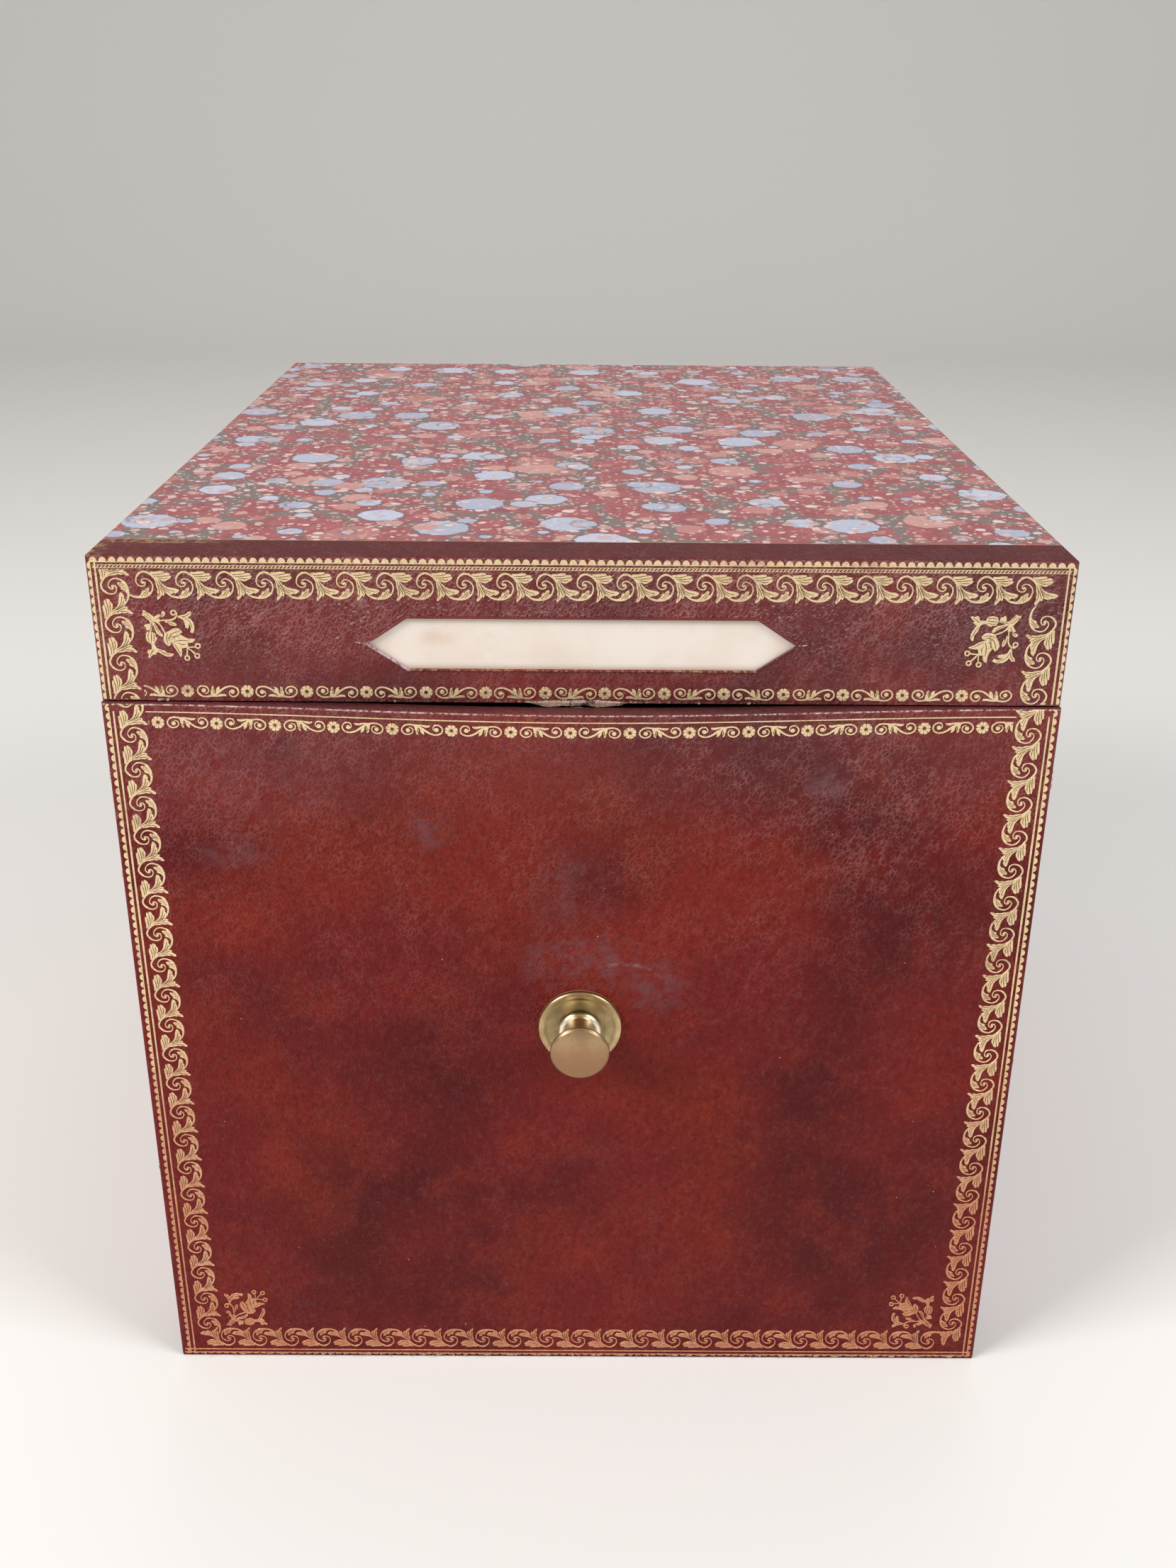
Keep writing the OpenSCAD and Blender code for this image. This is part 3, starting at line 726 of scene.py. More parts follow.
scrollTool = {  # one running acanthus scroll: its eye at the origin, its leaves to the right, the outer side up
    "stems": [
        ([(3.4, 0.95), (2.5, 2.05), (1.1, 2.9), (0.0, 3.0), (-0.95, 2.5), (-1.6, 1.75), (-1.9, 0.9), (-1.9, 0.0),
          (-1.45, -0.75), (-0.6, -1.1), (0.2, -0.9), (0.55, -0.25), (0.25, 0.15)],
         [0.7, 0.66, 0.6, 0.62, 0.62, 0.56, 0.46, 0.4, 0.38, 0.4, 0.42, 0.4, 0.4]),
        ([(-5.1, -2.7), (-4.1, -3.5), (-2.8, -4.05), (-1.25, -4.2), (0.15, -4.0), (1.5, -3.3), (2.25, -2.2),
          (2.5, -0.95), (2.2, 0.0), (1.65, 0.6), (0.95, 1.0), (0.2, 1.05), (-0.4, 0.65), (-0.55, 0.05),
          (-0.2, -0.3)],
         [0.2, 0.45, 0.66, 0.72, 0.7, 0.6, 0.5, 0.46, 0.42, 0.4, 0.38, 0.38, 0.38, 0.36, 0.36]),
    ],
    "dots": [((0.0, 0.0), 0.42)],
    "leaves": [
        [(2.0, 3.1), (3.4, 3.1), (4.7, 3.3), (5.95, 3.25), (6.05, 2.75), (6.9, 2.8), (7.65, 2.6), (7.35, 2.15),
         (7.9, 1.8), (7.5, 1.15), (6.7, 0.75), (6.2, 0.4), (5.4, 0.35), (4.7, 0.65), (4.2, 1.05), (3.1, 1.1)],
        [(4.2, 1.2), (4.85, 0.05), (5.6, -0.7), (6.55, -1.2), (7.65, -1.4), (8.75, -1.6), (9.45, -1.9),
         (9.65, -2.2), (9.2, -2.75), (8.4, -3.1), (7.9, -2.9), (7.55, -3.25), (6.7, -3.35), (5.9, -3.1),
         (5.35, -2.3), (4.8, -1.1), (4.3, 0.0), (3.7, 0.9)],
        [(3.1, 1.4), (3.25, 0.15), (3.35, -0.95), (3.65, -1.9), (3.5, -2.8), (3.7, -3.35), (3.3, -4.2),
         (3.3, -4.85), (3.7, -4.9), (4.4, -4.15), (4.85, -3.45), (5.15, -3.85), (5.5, -3.35), (5.65, -2.7),
         (5.1, -1.7), (4.6, -0.6), (4.1, 0.4), (3.9, 1.2)],
        [(-1.9, -3.95), (-0.95, -3.35), (-0.7, -2.6), (-0.35, -2.1), (0.0, -2.4), (0.4, -1.9), (0.9, -1.45),
         (1.35, -1.4), (1.5, -1.8), (1.45, -2.5), (1.7, -3.1), (0.95, -4.0), (-0.6, -4.3)],
    ],
    "veins": [
        [(2.7, 2.3), (4.5, 2.35), (5.9, 2.65)], [(3.3, 1.75), (5.2, 1.75), (7.2, 2.05)],
        [(4.1, 1.35), (5.6, 1.1), (6.6, 1.2)], [(4.5, 0.0), (5.5, -1.3), (6.9, -2.1), (8.3, -2.35)],
        [(4.9, -1.0), (5.9, -2.2), (7.1, -2.8)], [(3.6, 0.6), (4.0, -1.1), (4.15, -2.6), (3.8, -4.0)],
        [(4.1, -0.6), (4.7, -1.9), (5.1, -3.1)], [(-0.7, -3.8), (0.2, -2.9), (0.9, -2.0)],
        [(0.1, -3.7), (0.9, -2.9), (1.3, -2.2)], [(4.15, 0.7), (4.6, -0.4), (5.15, -1.6), (5.75, -2.75)],
    ],
}
curlTool = {  # the scroll from a flower at the origin to the next
    "stems": [
        ([(4.6, 0.2), (5.1, -0.4), (4.9, -1.2), (4.2, -1.6), (3.2, -1.4), (2.5, -0.35), (2.85, 0.85), (4.1, 1.45),
          (5.5, 1.3), (6.8, 0.65), (8.0, -0.3), (9.3, -1.1), (10.8, -1.55), (12.5, -1.55), (13.7, -0.7),
          (13.9, 0.4), (13.2, 1.3), (12.1, 1.5), (11.1, 1.0), (10.8, 0.15), (11.2, -0.55), (11.9, -0.75)],
         [0.3, 0.36, 0.4, 0.44, 0.48, 0.5, 0.5, 0.5, 0.54, 0.6, 0.66, 0.66, 0.56, 0.5, 0.5, 0.5, 0.48, 0.46, 0.44,
          0.4, 0.36, 0.3]),
    ],
    "dots": [((4.15, -0.15), 0.66), ((12.2, 0.2), 0.66)],
    "leaves": [
        [(9.6, -1.3), (8.4, -1.15), (7.3, -0.75), (6.3, -0.85), (5.85, -1.25), (6.0, -1.6), (6.6, -1.5),
         (7.6, -1.6), (8.8, -1.75), (10.2, -1.7)],
        [(8.2, -0.4), (7.9, 0.2), (7.5, 0.6), (7.75, 0.9), (7.5, 1.5), (8.2, 1.3), (8.7, 0.7), (8.9, -0.3),
         (9.3, -1.0)],
        [(9.2, -1.0), (9.1, 0.0), (9.3, 0.8), (9.35, 1.6), (9.9, 1.3), (10.1, 0.7), (9.9, 0.4), (10.3, 0.1),
         (10.3, -0.5), (10.5, -1.3)],
    ],
    "veins": [[(9.3, -0.6), (9.5, 0.3), (9.6, 1.0)]],
}
sprayTool = {  # the corner sprig: a carnation, a bud and curling leaves, with beads at the ends of its stems
    "stems": [
        ([(-4.06, 4.34), (-2.81, 4.44), (-1.56, 4.53), (0.0, 4.59), (1.09, 5.0), (1.81, 5.78), (1.94, 6.72)],
         [0.4, 0.42, 0.42, 0.5, 0.55, 0.5, 0.4]),
        ([(-4.38, 4.28), (-3.44, 3.75), (-2.81, 2.97), (-2.34, 1.97), (-1.94, 1.09)], [0.4, 0.48, 0.34, 0.55, 0.4]),
        ([(1.72, -3.25), (3.44, -3.22), (5.0, -3.22), (6.09, -3.12)], [0.4, 0.42, 0.42, 0.45]),
        ([(3.81, -1.72), (3.91, -3.28), (3.81, -4.53), (3.62, -5.72)], [0.4, 0.42, 0.5, 0.5]),
        ([(4.0, -3.53), (4.94, -4.16), (5.69, -5.0)], [0.4, 0.42, 0.5]),
    ],
    "dots": [],
    "rings": [(1.0, 6.72), (6.88, -2.88), (6.47, -5.72), (3.62, -6.41)],
    "leaves": [
        [(-7.5, 7.28), (-6.88, 7.41), (-6.34, 6.81), (-5.72, 6.56), (-5.0, 5.94), (-4.44, 5.47), (-3.59, 5.94),
         (-2.91, 6.47), (-2.69, 5.94), (-2.44, 5.94), (-2.19, 6.88), (-1.81, 7.25), (-1.25, 6.88), (-1.19, 6.16),
         (-1.72, 5.59), (-2.81, 5.16), (-2.81, 4.06), (-4.06, 3.91), (-4.53, 4.22), (-4.84, 3.59), (-5.16, 2.66),
         (-5.47, 1.34), (-6.03, 1.53), (-5.75, 2.66), (-5.62, 3.84), (-6.03, 4.53), (-6.56, 4.84), (-6.94, 5.47),
         (-7.66, 5.84), (-7.66, 6.47), (-7.31, 6.72)],
        [(-1.56, 4.34), (-0.62, 4.22), (0.47, 4.12), (1.16, 3.84), (1.69, 3.28), (1.5, 2.88), (0.31, 2.94),
         (-0.31, 3.16), (-0.88, 3.84), (-1.56, 3.84)],
        [(-5.0, 4.22), (-4.38, 3.84), (-3.97, 2.97), (-3.56, 2.03), (-3.03, 1.09), (-2.41, 0.31), (-2.5, -0.25),
         (-3.12, -0.16), (-3.91, 0.41), (-4.47, 1.41), (-4.72, 2.66), (-5.06, 3.44)],
        [(-7.34, 3.16), (-6.72, 3.41), (-5.94, 3.53), (-5.5, 2.97), (-5.62, 2.19), (-5.88, 1.66), (-6.72, 1.59),
         (-7.06, 2.03), (-6.88, 2.47), (-7.44, 2.72)],
        [(-6.94, 0.94), (-7.31, -0.31), (-7.12, -1.56), (-6.25, -2.19), (-5.56, -2.41), (-4.94, -2.03),
         (-4.38, -1.47), (-4.09, -0.62), (-4.47, -0.22), (-4.44, 0.62), (-5.0, 1.16), (-5.78, 1.34),
         (-6.41, 1.25)],
        [(-5.94, -2.03), (-5.0, -1.94), (-4.81, -2.97), (-4.44, -3.59), (-2.66, -4.16), (-1.56, -4.94),
         (-0.16, -5.06), (0.09, -5.47), (-0.56, -6.0), (-1.88, -6.12), (-2.88, -5.66), (-3.75, -5.06),
         (-4.44, -4.66), (-4.69, -5.09), (-5.25, -5.66), (-5.69, -5.34), (-6.25, -6.09), (-6.88, -6.59),
         (-7.22, -6.28), (-6.97, -5.31), (-7.34, -4.78), (-7.06, -4.16), (-5.94, -3.84)],
        [(-2.12, 1.09), (-1.56, 1.03), (-0.78, 1.41), (0.31, 2.09), (1.41, 2.38), (2.25, 2.12), (2.91, 1.41),
         (2.94, 1.0), (2.19, 0.69), (2.75, 0.16), (3.5, -0.31), (4.44, -0.66), (5.5, -0.69), (6.41, -0.72),
         (6.12, -1.41), (5.5, -1.91), (4.69, -2.06), (4.25, -1.91), (4.25, -2.97), (3.44, -3.44), (2.44, -3.59),
         (2.44, -4.53), (2.28, -5.53), (2.03, -6.28), (1.72, -6.09), (1.41, -5.16), (0.72, -4.06), (0.25, -3.22),
         (-0.19, -1.88), (-0.5, -1.78), (-0.41, -2.28), (-0.72, -2.81), (-1.25, -3.0), (-1.78, -2.5),
         (-2.25, -2.03), (-2.47, -1.34), (-2.38, -0.47), (-2.12, 0.41)],
        [(2.03, 5.59), (2.34, 5.94), (3.44, 6.06), (4.38, 6.38), (5.0, 6.97), (5.81, 7.22), (6.0, 6.72),
         (5.91, 6.09), (5.31, 5.62), (4.94, 5.38), (5.69, 4.84), (6.31, 3.91), (6.53, 2.66), (6.31, 1.41),
         (5.81, 0.72), (5.09, 1.19), (5.38, 2.03), (5.31, 2.97), (5.06, 3.53), (4.97, 2.59), (4.62, 2.06),
         (4.06, 2.38), (3.81, 3.28), (3.75, 4.06), (3.44, 4.69), (2.81, 5.09), (2.12, 5.22)],
    ],
    "veins": [
        [(-6.88, 6.88), (-5.94, 5.94), (-5.16, 5.0)], [(-7.12, 5.94), (-6.25, 5.41), (-5.31, 4.53)],
        [(-5.0, 4.22), (-5.38, 2.97), (-5.69, 1.88)], [(-3.91, 4.84), (-2.81, 5.31), (-1.72, 6.41)],
        [(-6.19, 1.09), (-6.62, -0.16), (-6.5, -1.56)], [(-5.56, 1.16), (-5.69, -0.31), (-5.84, -1.88)],
        [(-5.0, 0.94), (-4.91, -0.31), (-5.16, -1.56)], [(-0.94, 3.91), (0.0, 3.59), (0.94, 3.28)],
        [(-4.44, 3.44), (-4.0, 2.03), (-3.12, 0.62)], [(2.25, 1.41), (0.62, 0.94), (-0.56, 0.16)],
        [(-1.09, 0.78), (-1.56, -0.78), (-1.25, -2.34)], [(0.0, 0.62), (-0.78, -0.62), (-0.81, -1.56)],
        [(2.66, 0.41), (1.25, 0.0), (0.16, -0.78)], [(0.31, -1.72), (2.19, -1.25), (4.38, -1.34)],
        [(0.31, -2.19), (1.19, -3.59), (1.88, -5.16)], [(1.56, -2.03), (2.5, -2.5), (3.44, -2.41)],
        [(-1.25, -0.62), (0.31, -0.16), (1.88, -0.16)], [(3.28, 5.53), (4.44, 5.0), (5.38, 3.91), (5.81, 2.34)],
        [(3.44, 5.59), (4.62, 5.91), (5.5, 6.56)], [(-4.06, -4.16), (-2.81, -4.84), (-1.25, -5.53)],
        [(-5.31, -3.97), (-5.94, -4.69), (-6.62, -5.72)],
    ],
}
petal = [(0.45, -0.12), (1.0, -0.42), (1.6, -0.56), (1.88, -0.4), (1.78, 0.0), (1.88, 0.4), (1.6, 0.56), (1.0, 0.42),
         (0.45, 0.12)]


def placed(shapes, at, turn=0.0, mirrorX=False, mirrorY=False):
    c = math.cos(math.radians(turn))
    s = math.sin(math.radians(turn))
    flipX = -1 if mirrorX else 1
    flipY = -1 if mirrorY else 1
    return [([(at[0] + flipX * x * c - flipY * y * s, at[1] + flipX * x * s + flipY * y * c) for x, y in shape], vein)
            for shape, vein in shapes]


flower = [shape for i in range(8) for shape in placed([(petal, False)], (0, 0), 45 * i + 22.5)]
scroll = drawTool(scrollTool)
curl = drawTool(curlTool)
sprig = drawTool(sprayTool)
chance = random.Random(4)


def jitter(amount):
    return (chance.random() - 0.5) * 2 * amount


def runScrolls(first, last, count, turn):  # turned 90 up the left, 0 along the top, -90 down the right
    first = Vector(first)
    step = (Vector(last) - first) / (count - 1)
    shapes = []
    for i in range(count):
        shapes += placed(scroll, first + step * i + Vector((jitter(0.05), jitter(0.05))), turn + jitter(0.7))
    return shapes


def runFlowers(first, pitch, count, height, upsideDown):
    shapes = []
    for i in range(-1, count):
        x = first + pitch * i
        mirrored = i % 2 == 0
        shapes += placed(flower, (x, height), jitter(6))
        shapes += placed(curl, (x + (pitch if mirrored else 0), height), 0, mirrored, upsideDown)
    return shapes


tooling = {"scallopPitch": 2.56, "scallopLine": 0.36, "wobble": 0.14, "thick": 0.11, "sunk": 0.03, "bevel": 0.08}


def runScallops(first, last, turn, height):  # bumps on a line, pointing outwards
    first = Vector(first)
    way = Vector(last) - first
    count = round(way.length / tooling["scallopPitch"])
    pitch = way.length / count
    line = tooling["scallopLine"]
    bump = [(pitch * 0.42 * math.cos(math.pi * k / 8), line / 2 + (height - line) * math.sin(math.pi * k / 8))
            for k in range(9)]
    base = [(-pitch / 2, -line / 2), (pitch / 2, -line / 2), (pitch / 2, line / 2), (-pitch / 2, line / 2)]
    shapes = []
    for i in range(count):
        shapes += placed([(bump, False), (base, False)], first + way * (i + 0.5) / count, turn + jitter(1.5))
    return shapes


def straightLine(first, last, width):
    first = Vector(first)
    way = Vector(last) - first
    across = Vector((-way.y, way.x)).normalized() * (width / 2)
    count = max(2, int(way.length / 5))
    along = [first + way * i / count for i in range(count + 1)]
    wide = [across * (1 + jitter(tooling["wobble"])) for _ in along]
    return [([along[i] - wide[i], along[i + 1] - wide[i + 1], along[i + 1] + wide[i + 1], along[i] + wide[i]], False)
            for i in range(count)]


def rope(first, last, width, pitch):  # a line of slanting strokes
    first = Vector(first)
    way = Vector(last) - first
    count = round(way.length / pitch)
    w = width / 2
    stroke = [(-pitch * 0.55, -w), (-pitch * 0.05, -w), (pitch * 0.55, w), (pitch * 0.05, w)]
    return [shape for i in range(count) for shape in placed([(stroke, False)], first + way * (i + 0.5) / count)]


def clipped(shapes, low, high):  # keeps what lies between two corners, cutting the shapes at the edges
    kept = []
    for shape, vein in shapes:
        points = [Vector(v) for v in shape]
        for axis, limit, sign in ((0, low[0], 1), (0, high[0], -1), (1, low[1], 1), (1, high[1], -1)):
            cut = []
            for i, a in enumerate(points):
                b = points[(i + 1) % len(points)]
                insideA = (a[axis] - limit) * sign >= 0
                insideB = (b[axis] - limit) * sign >= 0
                if insideA:
                    cut.append(a)
                if insideA != insideB:
                    cut.append(a.lerp(b, (limit - a[axis]) / (b[axis] - a[axis])))
            points = cut
            if len(points) < 3:
                break
        if len(points) >= 3:
            kept.append((points, vein))
    return kept


def foil(name, shapes, low, high, surface, body):
    # Joins the flat shapes into one outline without its veins, lays it on the surface and gives it an edge
    corners = []
    faces = []
    veins = set()
    for shape, vein in clipped(shapes, low, high):
        area = sum(shape[i - 1][0] * shape[i][1] - shape[i][0] * shape[i - 1][1] for i in range(len(shape)))
        if abs(area) < 1e-4:
            continue
        ordered = shape if area > 0 else shape[::-1]
        if vein:
            veins.add(len(faces))
        faces.append(list(range(len(corners), len(corners) + len(ordered))))
        corners += [Vector((v[0], v[1])) for v in ordered]
    flat, _, triangles, _, _, origins = delaunay_2d_cdt(corners, [], faces, 1, 1e-4)
    gold = [tri for tri, origin in zip(triangles, origins) if origin and not veins.intersection(origin)]
    sides = {(tri[i], tri[(i + 1) % len(tri)]) for tri in gold for i in range(len(tri))}
    outline = sorted((a, b) for a, b in sides if (b, a) not in sides)
    inwards = [Vector((0.0, 0.0)) for _ in flat]
    for a, b in outline:
        way = (flat[b] - flat[a]).normalized()
        for k in (a, b):
            inwards[k] += Vector((-way.y, way.x))
    crown = [v + move.normalized() * tooling["bevel"] if move.length > 0.3 else v for v, move in zip(flat, inwards)]
    count = len(flat)
    points = [surface(v.x, v.y, tooling["thick"]) for v in crown]
    points += [surface(v.x, v.y, -tooling["sunk"]) for v in flat]
    walls = [(b, a, a + count, b + count) for a, b in outline]
    piece = makePiece(name, points, [tuple(tri) for tri in gold] + walls, paints["gilt"], body, smooth=False)
    print("gilt piece", name, len(piece.data.vertices), "points")


# Surfaces that the tooling lies on

def edgeDrop(distance, r=warp["round"]):  # how far a face lies back near its rounded edge
    return 0.0 if distance >= r else r - math.sqrt(max(0.0, r * r - (r - distance) ** 2))


def lidSurface(x, z, lift):
    back = edgeDrop(half - abs(x)) + edgeDrop(lidHigh[2] - z)
    return Vector((x, lidLow[1] - lift + back, z)) * mm


def bowAt(x, z):  # how far the fall front has warped outwards, most at the middle of its top edge
    rise = max(0.0, (z - warp["from"]) / (flapTop - warp["from"]))
    return warp["depth"] * math.cos(math.pi * x / (2 * half)) ** 2 * rise * rise


def flapSurface(x, z, lift):
    back = edgeDrop(half - abs(x)) + edgeDrop(flapTop - z) + edgeDrop(z - flapLow[2])
    return Vector((x, flapLow[1] - lift + back - bowAt(x, z), z)) * mm


# The tooling of the lid's front

def lidFoil(name, shapes, low=(-half + 0.25, rim + 0.3), high=(half - 0.25, top - 0.25)):
    foil(name, shapes, low, high, lidSurface, "lid")


lidFoil("lidScrolls",
        runScrolls((-119.7, top - 7.7), (120.6, top - 7.7), count=23, turn=0)
        + runScrolls((-half + 6.7, top - 42.2), (-half + 6.7, top - 9.2), count=4, turn=90)
        + runScrolls((half - 7.5, top - 17.7), (half - 7.5, top - 49.6), count=4, turn=-90),
        low=(-half + 3.1, rim + 0.3), high=(half - 3.1, top - 4.0))
lidFoil("lidRules",
        runScallops((-half + 1.0, top - 2.0), (half - 1.0, top - 2.0), turn=0, height=1.6)
        + runScallops((-half + 1.35, rim), (-half + 1.35, top - 1.8), turn=90, height=1.1)
        + runScallops((half - 1.35, top - 1.8), (half - 1.35, rim), turn=-90, height=1.1)
        + straightLine((-half + 1.8, top - 3.65), (half - 1.8, top - 3.65), width=0.24)
        + straightLine((-half + 1.8, top - 2.85), (half - 1.8, top - 2.85), width=0.24)
        + rope((-half + 1.8, top - 3.25), (half - 1.8, top - 3.25), width=0.62, pitch=1.05)
        + straightLine((-half + 2.6, rim), (-half + 2.6, top - 1.8), width=0.6)
        + straightLine((half - 2.6, rim), (half - 2.6, top - 1.8), width=0.6))
lidFoil("lidFlowers", runFlowers(-110.6, pitch=16.72, count=14, height=rim + 2.85, upsideDown=False),
        low=(-half + 12.2, rim + 0.3), high=(half - 12.4, rim + 8))
lidFoil("lidSprays",
        placed(sprig, (-half + 21.6, top - 23.0)) + placed(sprig, (half - 21.6, top - 23.0), turn=-90))


# The tooling of the fall front

def frontFoil(name, shapes, low=(-half + 0.25, flapLow[2] + 0.2), high=(half - 0.25, flapTop - 0.3)):
    foil(name, shapes, low, high, flapSurface, "front")


frontFoil("frontScrolls",
          runScrolls((-half + 9.7, 13.75), (-half + 7.6, 238.45), count=22, turn=90)
          + runScrolls((half - 8.0, 240.5), (half - 8.5, 15.4), count=22, turn=-90)
          + runScrolls((119.0, 7.5), (-118.5, 7.5), count=23, turn=180),
          low=(-half + 3.8, 3.2), high=(half - 3.8, flapTop - 0.3))
frontFoil("frontRules",
          runScallops((-half + 3.1, 1.0), (-half + 2.1, flapTop), turn=90, height=1.3)
          + runScallops((half - 2.1, flapTop), (half - 2.3, 1.0), turn=-90, height=1.3)
          + runScallops((half - 1.0, 1.5), (-half + 1.0, 1.5), turn=180, height=0.9)
          + straightLine((-half + 4.5, 1.2), (-half + 3.3, flapTop), width=0.6)
          + straightLine((half - 3.3, flapTop), (half - 3.6, 1.2), width=0.6)
          + straightLine((-half + 1.2, 2.8), (half - 1.2, 2.8), width=0.5)
          + straightLine((-half + 12.4, 235.15), (half - 12.6, 235.15), width=0.42))
frontFoil("frontFlowers", runFlowers(-119.4, pitch=16.61, count=15, height=232.0, upsideDown=True),
          low=(-half + 12.9, 226.0), high=(half - 13.2, 234.8))
frontFoil("frontSprays",
          placed(sprig, (-111.4, 20.6), turn=90) + placed(sprig, (112.0, 20.8), turn=180))


# The fall front and the panel on its inside, both warped outwards at the top

def stations(low, high, count, r, steps):  # places across a slab, close together in its rounded edges
    arc = [r * (1 - math.cos(math.pi / 2 * i / steps)) for i in range(steps)]
    middle = [low + r + (high - low - 2 * r) * i / count for i in range(count + 1)]
    return [low + v for v in arc] + middle + [high - v for v in reversed(arc)]


def warpedSlab(name, low, high, r, bows, material):
    # low and high are corners in mm; the face at low y is rounded along its edges
    xs = stations(low[0], high[0], 60, r, 5)
    zs = stations(low[2], high[2], 52, r, 5)
    points = []
    for face in (0, 1):
        for x in xs:
            for z in zs:
                distance = min(x - low[0], high[0] - x, z - low[2], high[2] - z)
                y = low[1] + edgeDrop(distance, r) if face == 0 else high[1]
                points.append((x * mm, (y - bows[face] * bowAt(x, z)) * mm, z * mm))
    rows = len(zs)
    side = len(xs) * rows
    faces = []
    for i in range(len(xs) - 1):
        for j in range(rows - 1):
            a = i * rows + j
            faces.append((a, a + rows, a + rows + 1, a + 1))
            faces.append((a + side, a + side + 1, a + side + rows + 1, a + side + rows))
    rims = [[i * rows for i in range(len(xs))], [i * rows + rows - 1 for i in range(len(xs))],
            list(range(rows)), list(range(side - rows, side))]
    for line in rims:
        faces += [(a, b, b + side, a + side) for a, b in zip(line, line[1:])]
    return makePiece(name, points, faces, material, "front")


_, boardHigh = edges("front_board")
linerLow, linerHigh = edges("front_liner")
_, liningHigh = edges("front_lining")
frontPanel = warpedSlab("frontPanel", flapLow, (flapHigh[0], boardHigh[1], flapTop), warp["round"],
                        (1.0, warp["innerShare"]), paints["frontFace"])
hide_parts("front_leather", "front_board")
frontLiner = warpedSlab("frontLiner", linerLow, (linerHigh[0], liningHigh[1], linerHigh[2]), 0.05,
                        (warp["innerShare"], warp["innerShare"]), paints["lining"])
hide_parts("front_liner", "front_lining")
print("fall front built")


# The rolled leather edge of the label window, with a slit running on at each point

def windowRim():
    a = window["long"] / 2
    b = window["straight"] / 2
    h = window["high"] / 2
    outline = [(-a, 0), (-b, h), (b, h), (a, 0), (b, -h), (-b, -h)]
    points = []
    for i, corner in enumerate(outline):
        nextCorner = outline[(i + 1) % len(outline)]
        length = math.dist(corner, nextCorner)
        count = max(2, int(length / window["step"]))
        way = (Vector(nextCorner) - Vector(corner)) / count
        outwards = Vector((-way.y, way.x)).normalized()
        for k in range(count):
            at = Vector(corner) + way * k
            if k == 0:
                before = Vector(outline[i - 1])
                came = (Vector(corner) - before).normalized()
                push = (outwards + Vector((-came.y, came.x))).normalized()
            else:
                push = outwards
            lump = 1 + window["lump"] * noise.noise(Vector((at.x * 0.16, at.y * 0.3, 3.0)))
            off = window["bead"] * lump
            for s in range(window["sides"]):
                angle = 2 * math.pi * s / window["sides"]
                flat = at + push * (off * math.cos(angle) + off * 0.25)
                points.append((flat.x * mm, (lidLow[1] + 0.05 - off * math.sin(angle)) * mm,
                               (window["middle"] + flat.y) * mm))
    faces = []
    joinRings(points, window["sides"], faces, True)
    makePiece("windowRim", points, faces, paints["rim"], "lid")


def windowSlits():
    points = []
    faces = []
    for side in (-1, 1):
        tip = side * window["long"] / 2
        outline = [(tip - side * 0.6, 0.42), (tip + side * 0.5, 0.26), (tip + side * 2.0, 0.34),
                   (tip + side * window["slit"], 0.50), (tip + side * 2.0, 0.02), (tip + side * 0.4, -0.22),
                   (tip - side * 0.6, -0.42)]
        base = len(points)
        count = len(outline)
        for lift in (0.12, -0.10):
            points += [(x * mm, (lidLow[1] - lift) * mm, (window["middle"] + z) * mm) for x, z in outline]
        faces += [tuple(base + k for k in range(count)), tuple(base + count + k for k in reversed(range(count)))]
        faces += [tuple(base + k for k in (i, (i + 1) % count, count + (i + 1) % count, count + i))
                  for i in range(count)]
    makePiece("windowSlits", points, faces, paints["crease"], "lid", smooth=False)


windowRim()
windowSlits()


# The leather joint along the back, one strip with a furrow along its crease

lowerLow, lowerHigh = edges("lid_hinge_lower")
_, upperHigh = edges("lid_hinge_upper")
backJoint = {"columns": 46, "bend": 2.4, "round": 0.3, "ripple": 0.07, "furrow": 0.16, "furrowWidth": 0.8}


def hingeStrip():
    heights = [lowerLow[2], lowerLow[2] + backJoint["round"]]
    heights += [lowerLow[2] + 1.5 + i * 2.0 for i in range(7)]
    crease = lowerHigh[2] + 0.15
    heights += [crease - 3.0 + i * 0.3 for i in range(21)]
    heights += [crease + 4.4 + i * 2.0 for i in range(7)]
    heights += [upperHigh[2] - backJoint["round"], upperHigh[2]]
    heights = sorted(set(round(v, 3) for v in heights if lowerLow[2] <= v <= upperHigh[2]))
    points = []
    for i in range(backJoint["columns"] + 1):
        x = lowerLow[0] + (lowerHigh[0] - lowerLow[0]) * i / backJoint["columns"]
        for face in (0, 1):
            for z in heights:
                edge = min(z - lowerLow[2], upperHigh[2] - z, x - lowerLow[0], lowerHigh[0] - x)
                furrow = backJoint["furrow"] * math.exp(-((z - crease) / backJoint["furrowWidth"]) ** 2)
                rough = backJoint["ripple"] * noise.noise(Vector((x * 0.2, z * 0.4, 7.0)))
                y = lowerHigh[1] - edgeDrop(edge + 0.6) * 0.3 - furrow + min(0.0, rough)
                points.append((x * mm, (y if face else lowerLow[1]) * mm, z * mm))
    rows = len(heights)
    faces = []
    for i in range(backJoint["columns"]):
        for face in (0, 1):
            for j in range(rows - 1):
                a = (2 * i + face) * rows + j
                faces.append((a, a + 1, a + 2 * rows + 1, a + 2 * rows))
        for j in (0, rows - 1):
            a = 2 * i * rows + j
            faces.append((a, a + rows, a + 3 * rows, a + 2 * rows))
    for i in (0, backJoint["columns"]):
        for j in range(rows - 1):
            a = 2 * i * rows + j
            faces.append((a, a + 1, a + rows + 1, a + rows))
    strip = makePiece("backJoint", points, faces, paints["leather"])
    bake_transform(strip)
    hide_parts("lid_hinge_lower", "lid_hinge_upper")


hingeStrip()
print("window and back joint built")


# Torn leather: the middle of the lid's lower edge, a few nicks, and the worn foot of the fall front

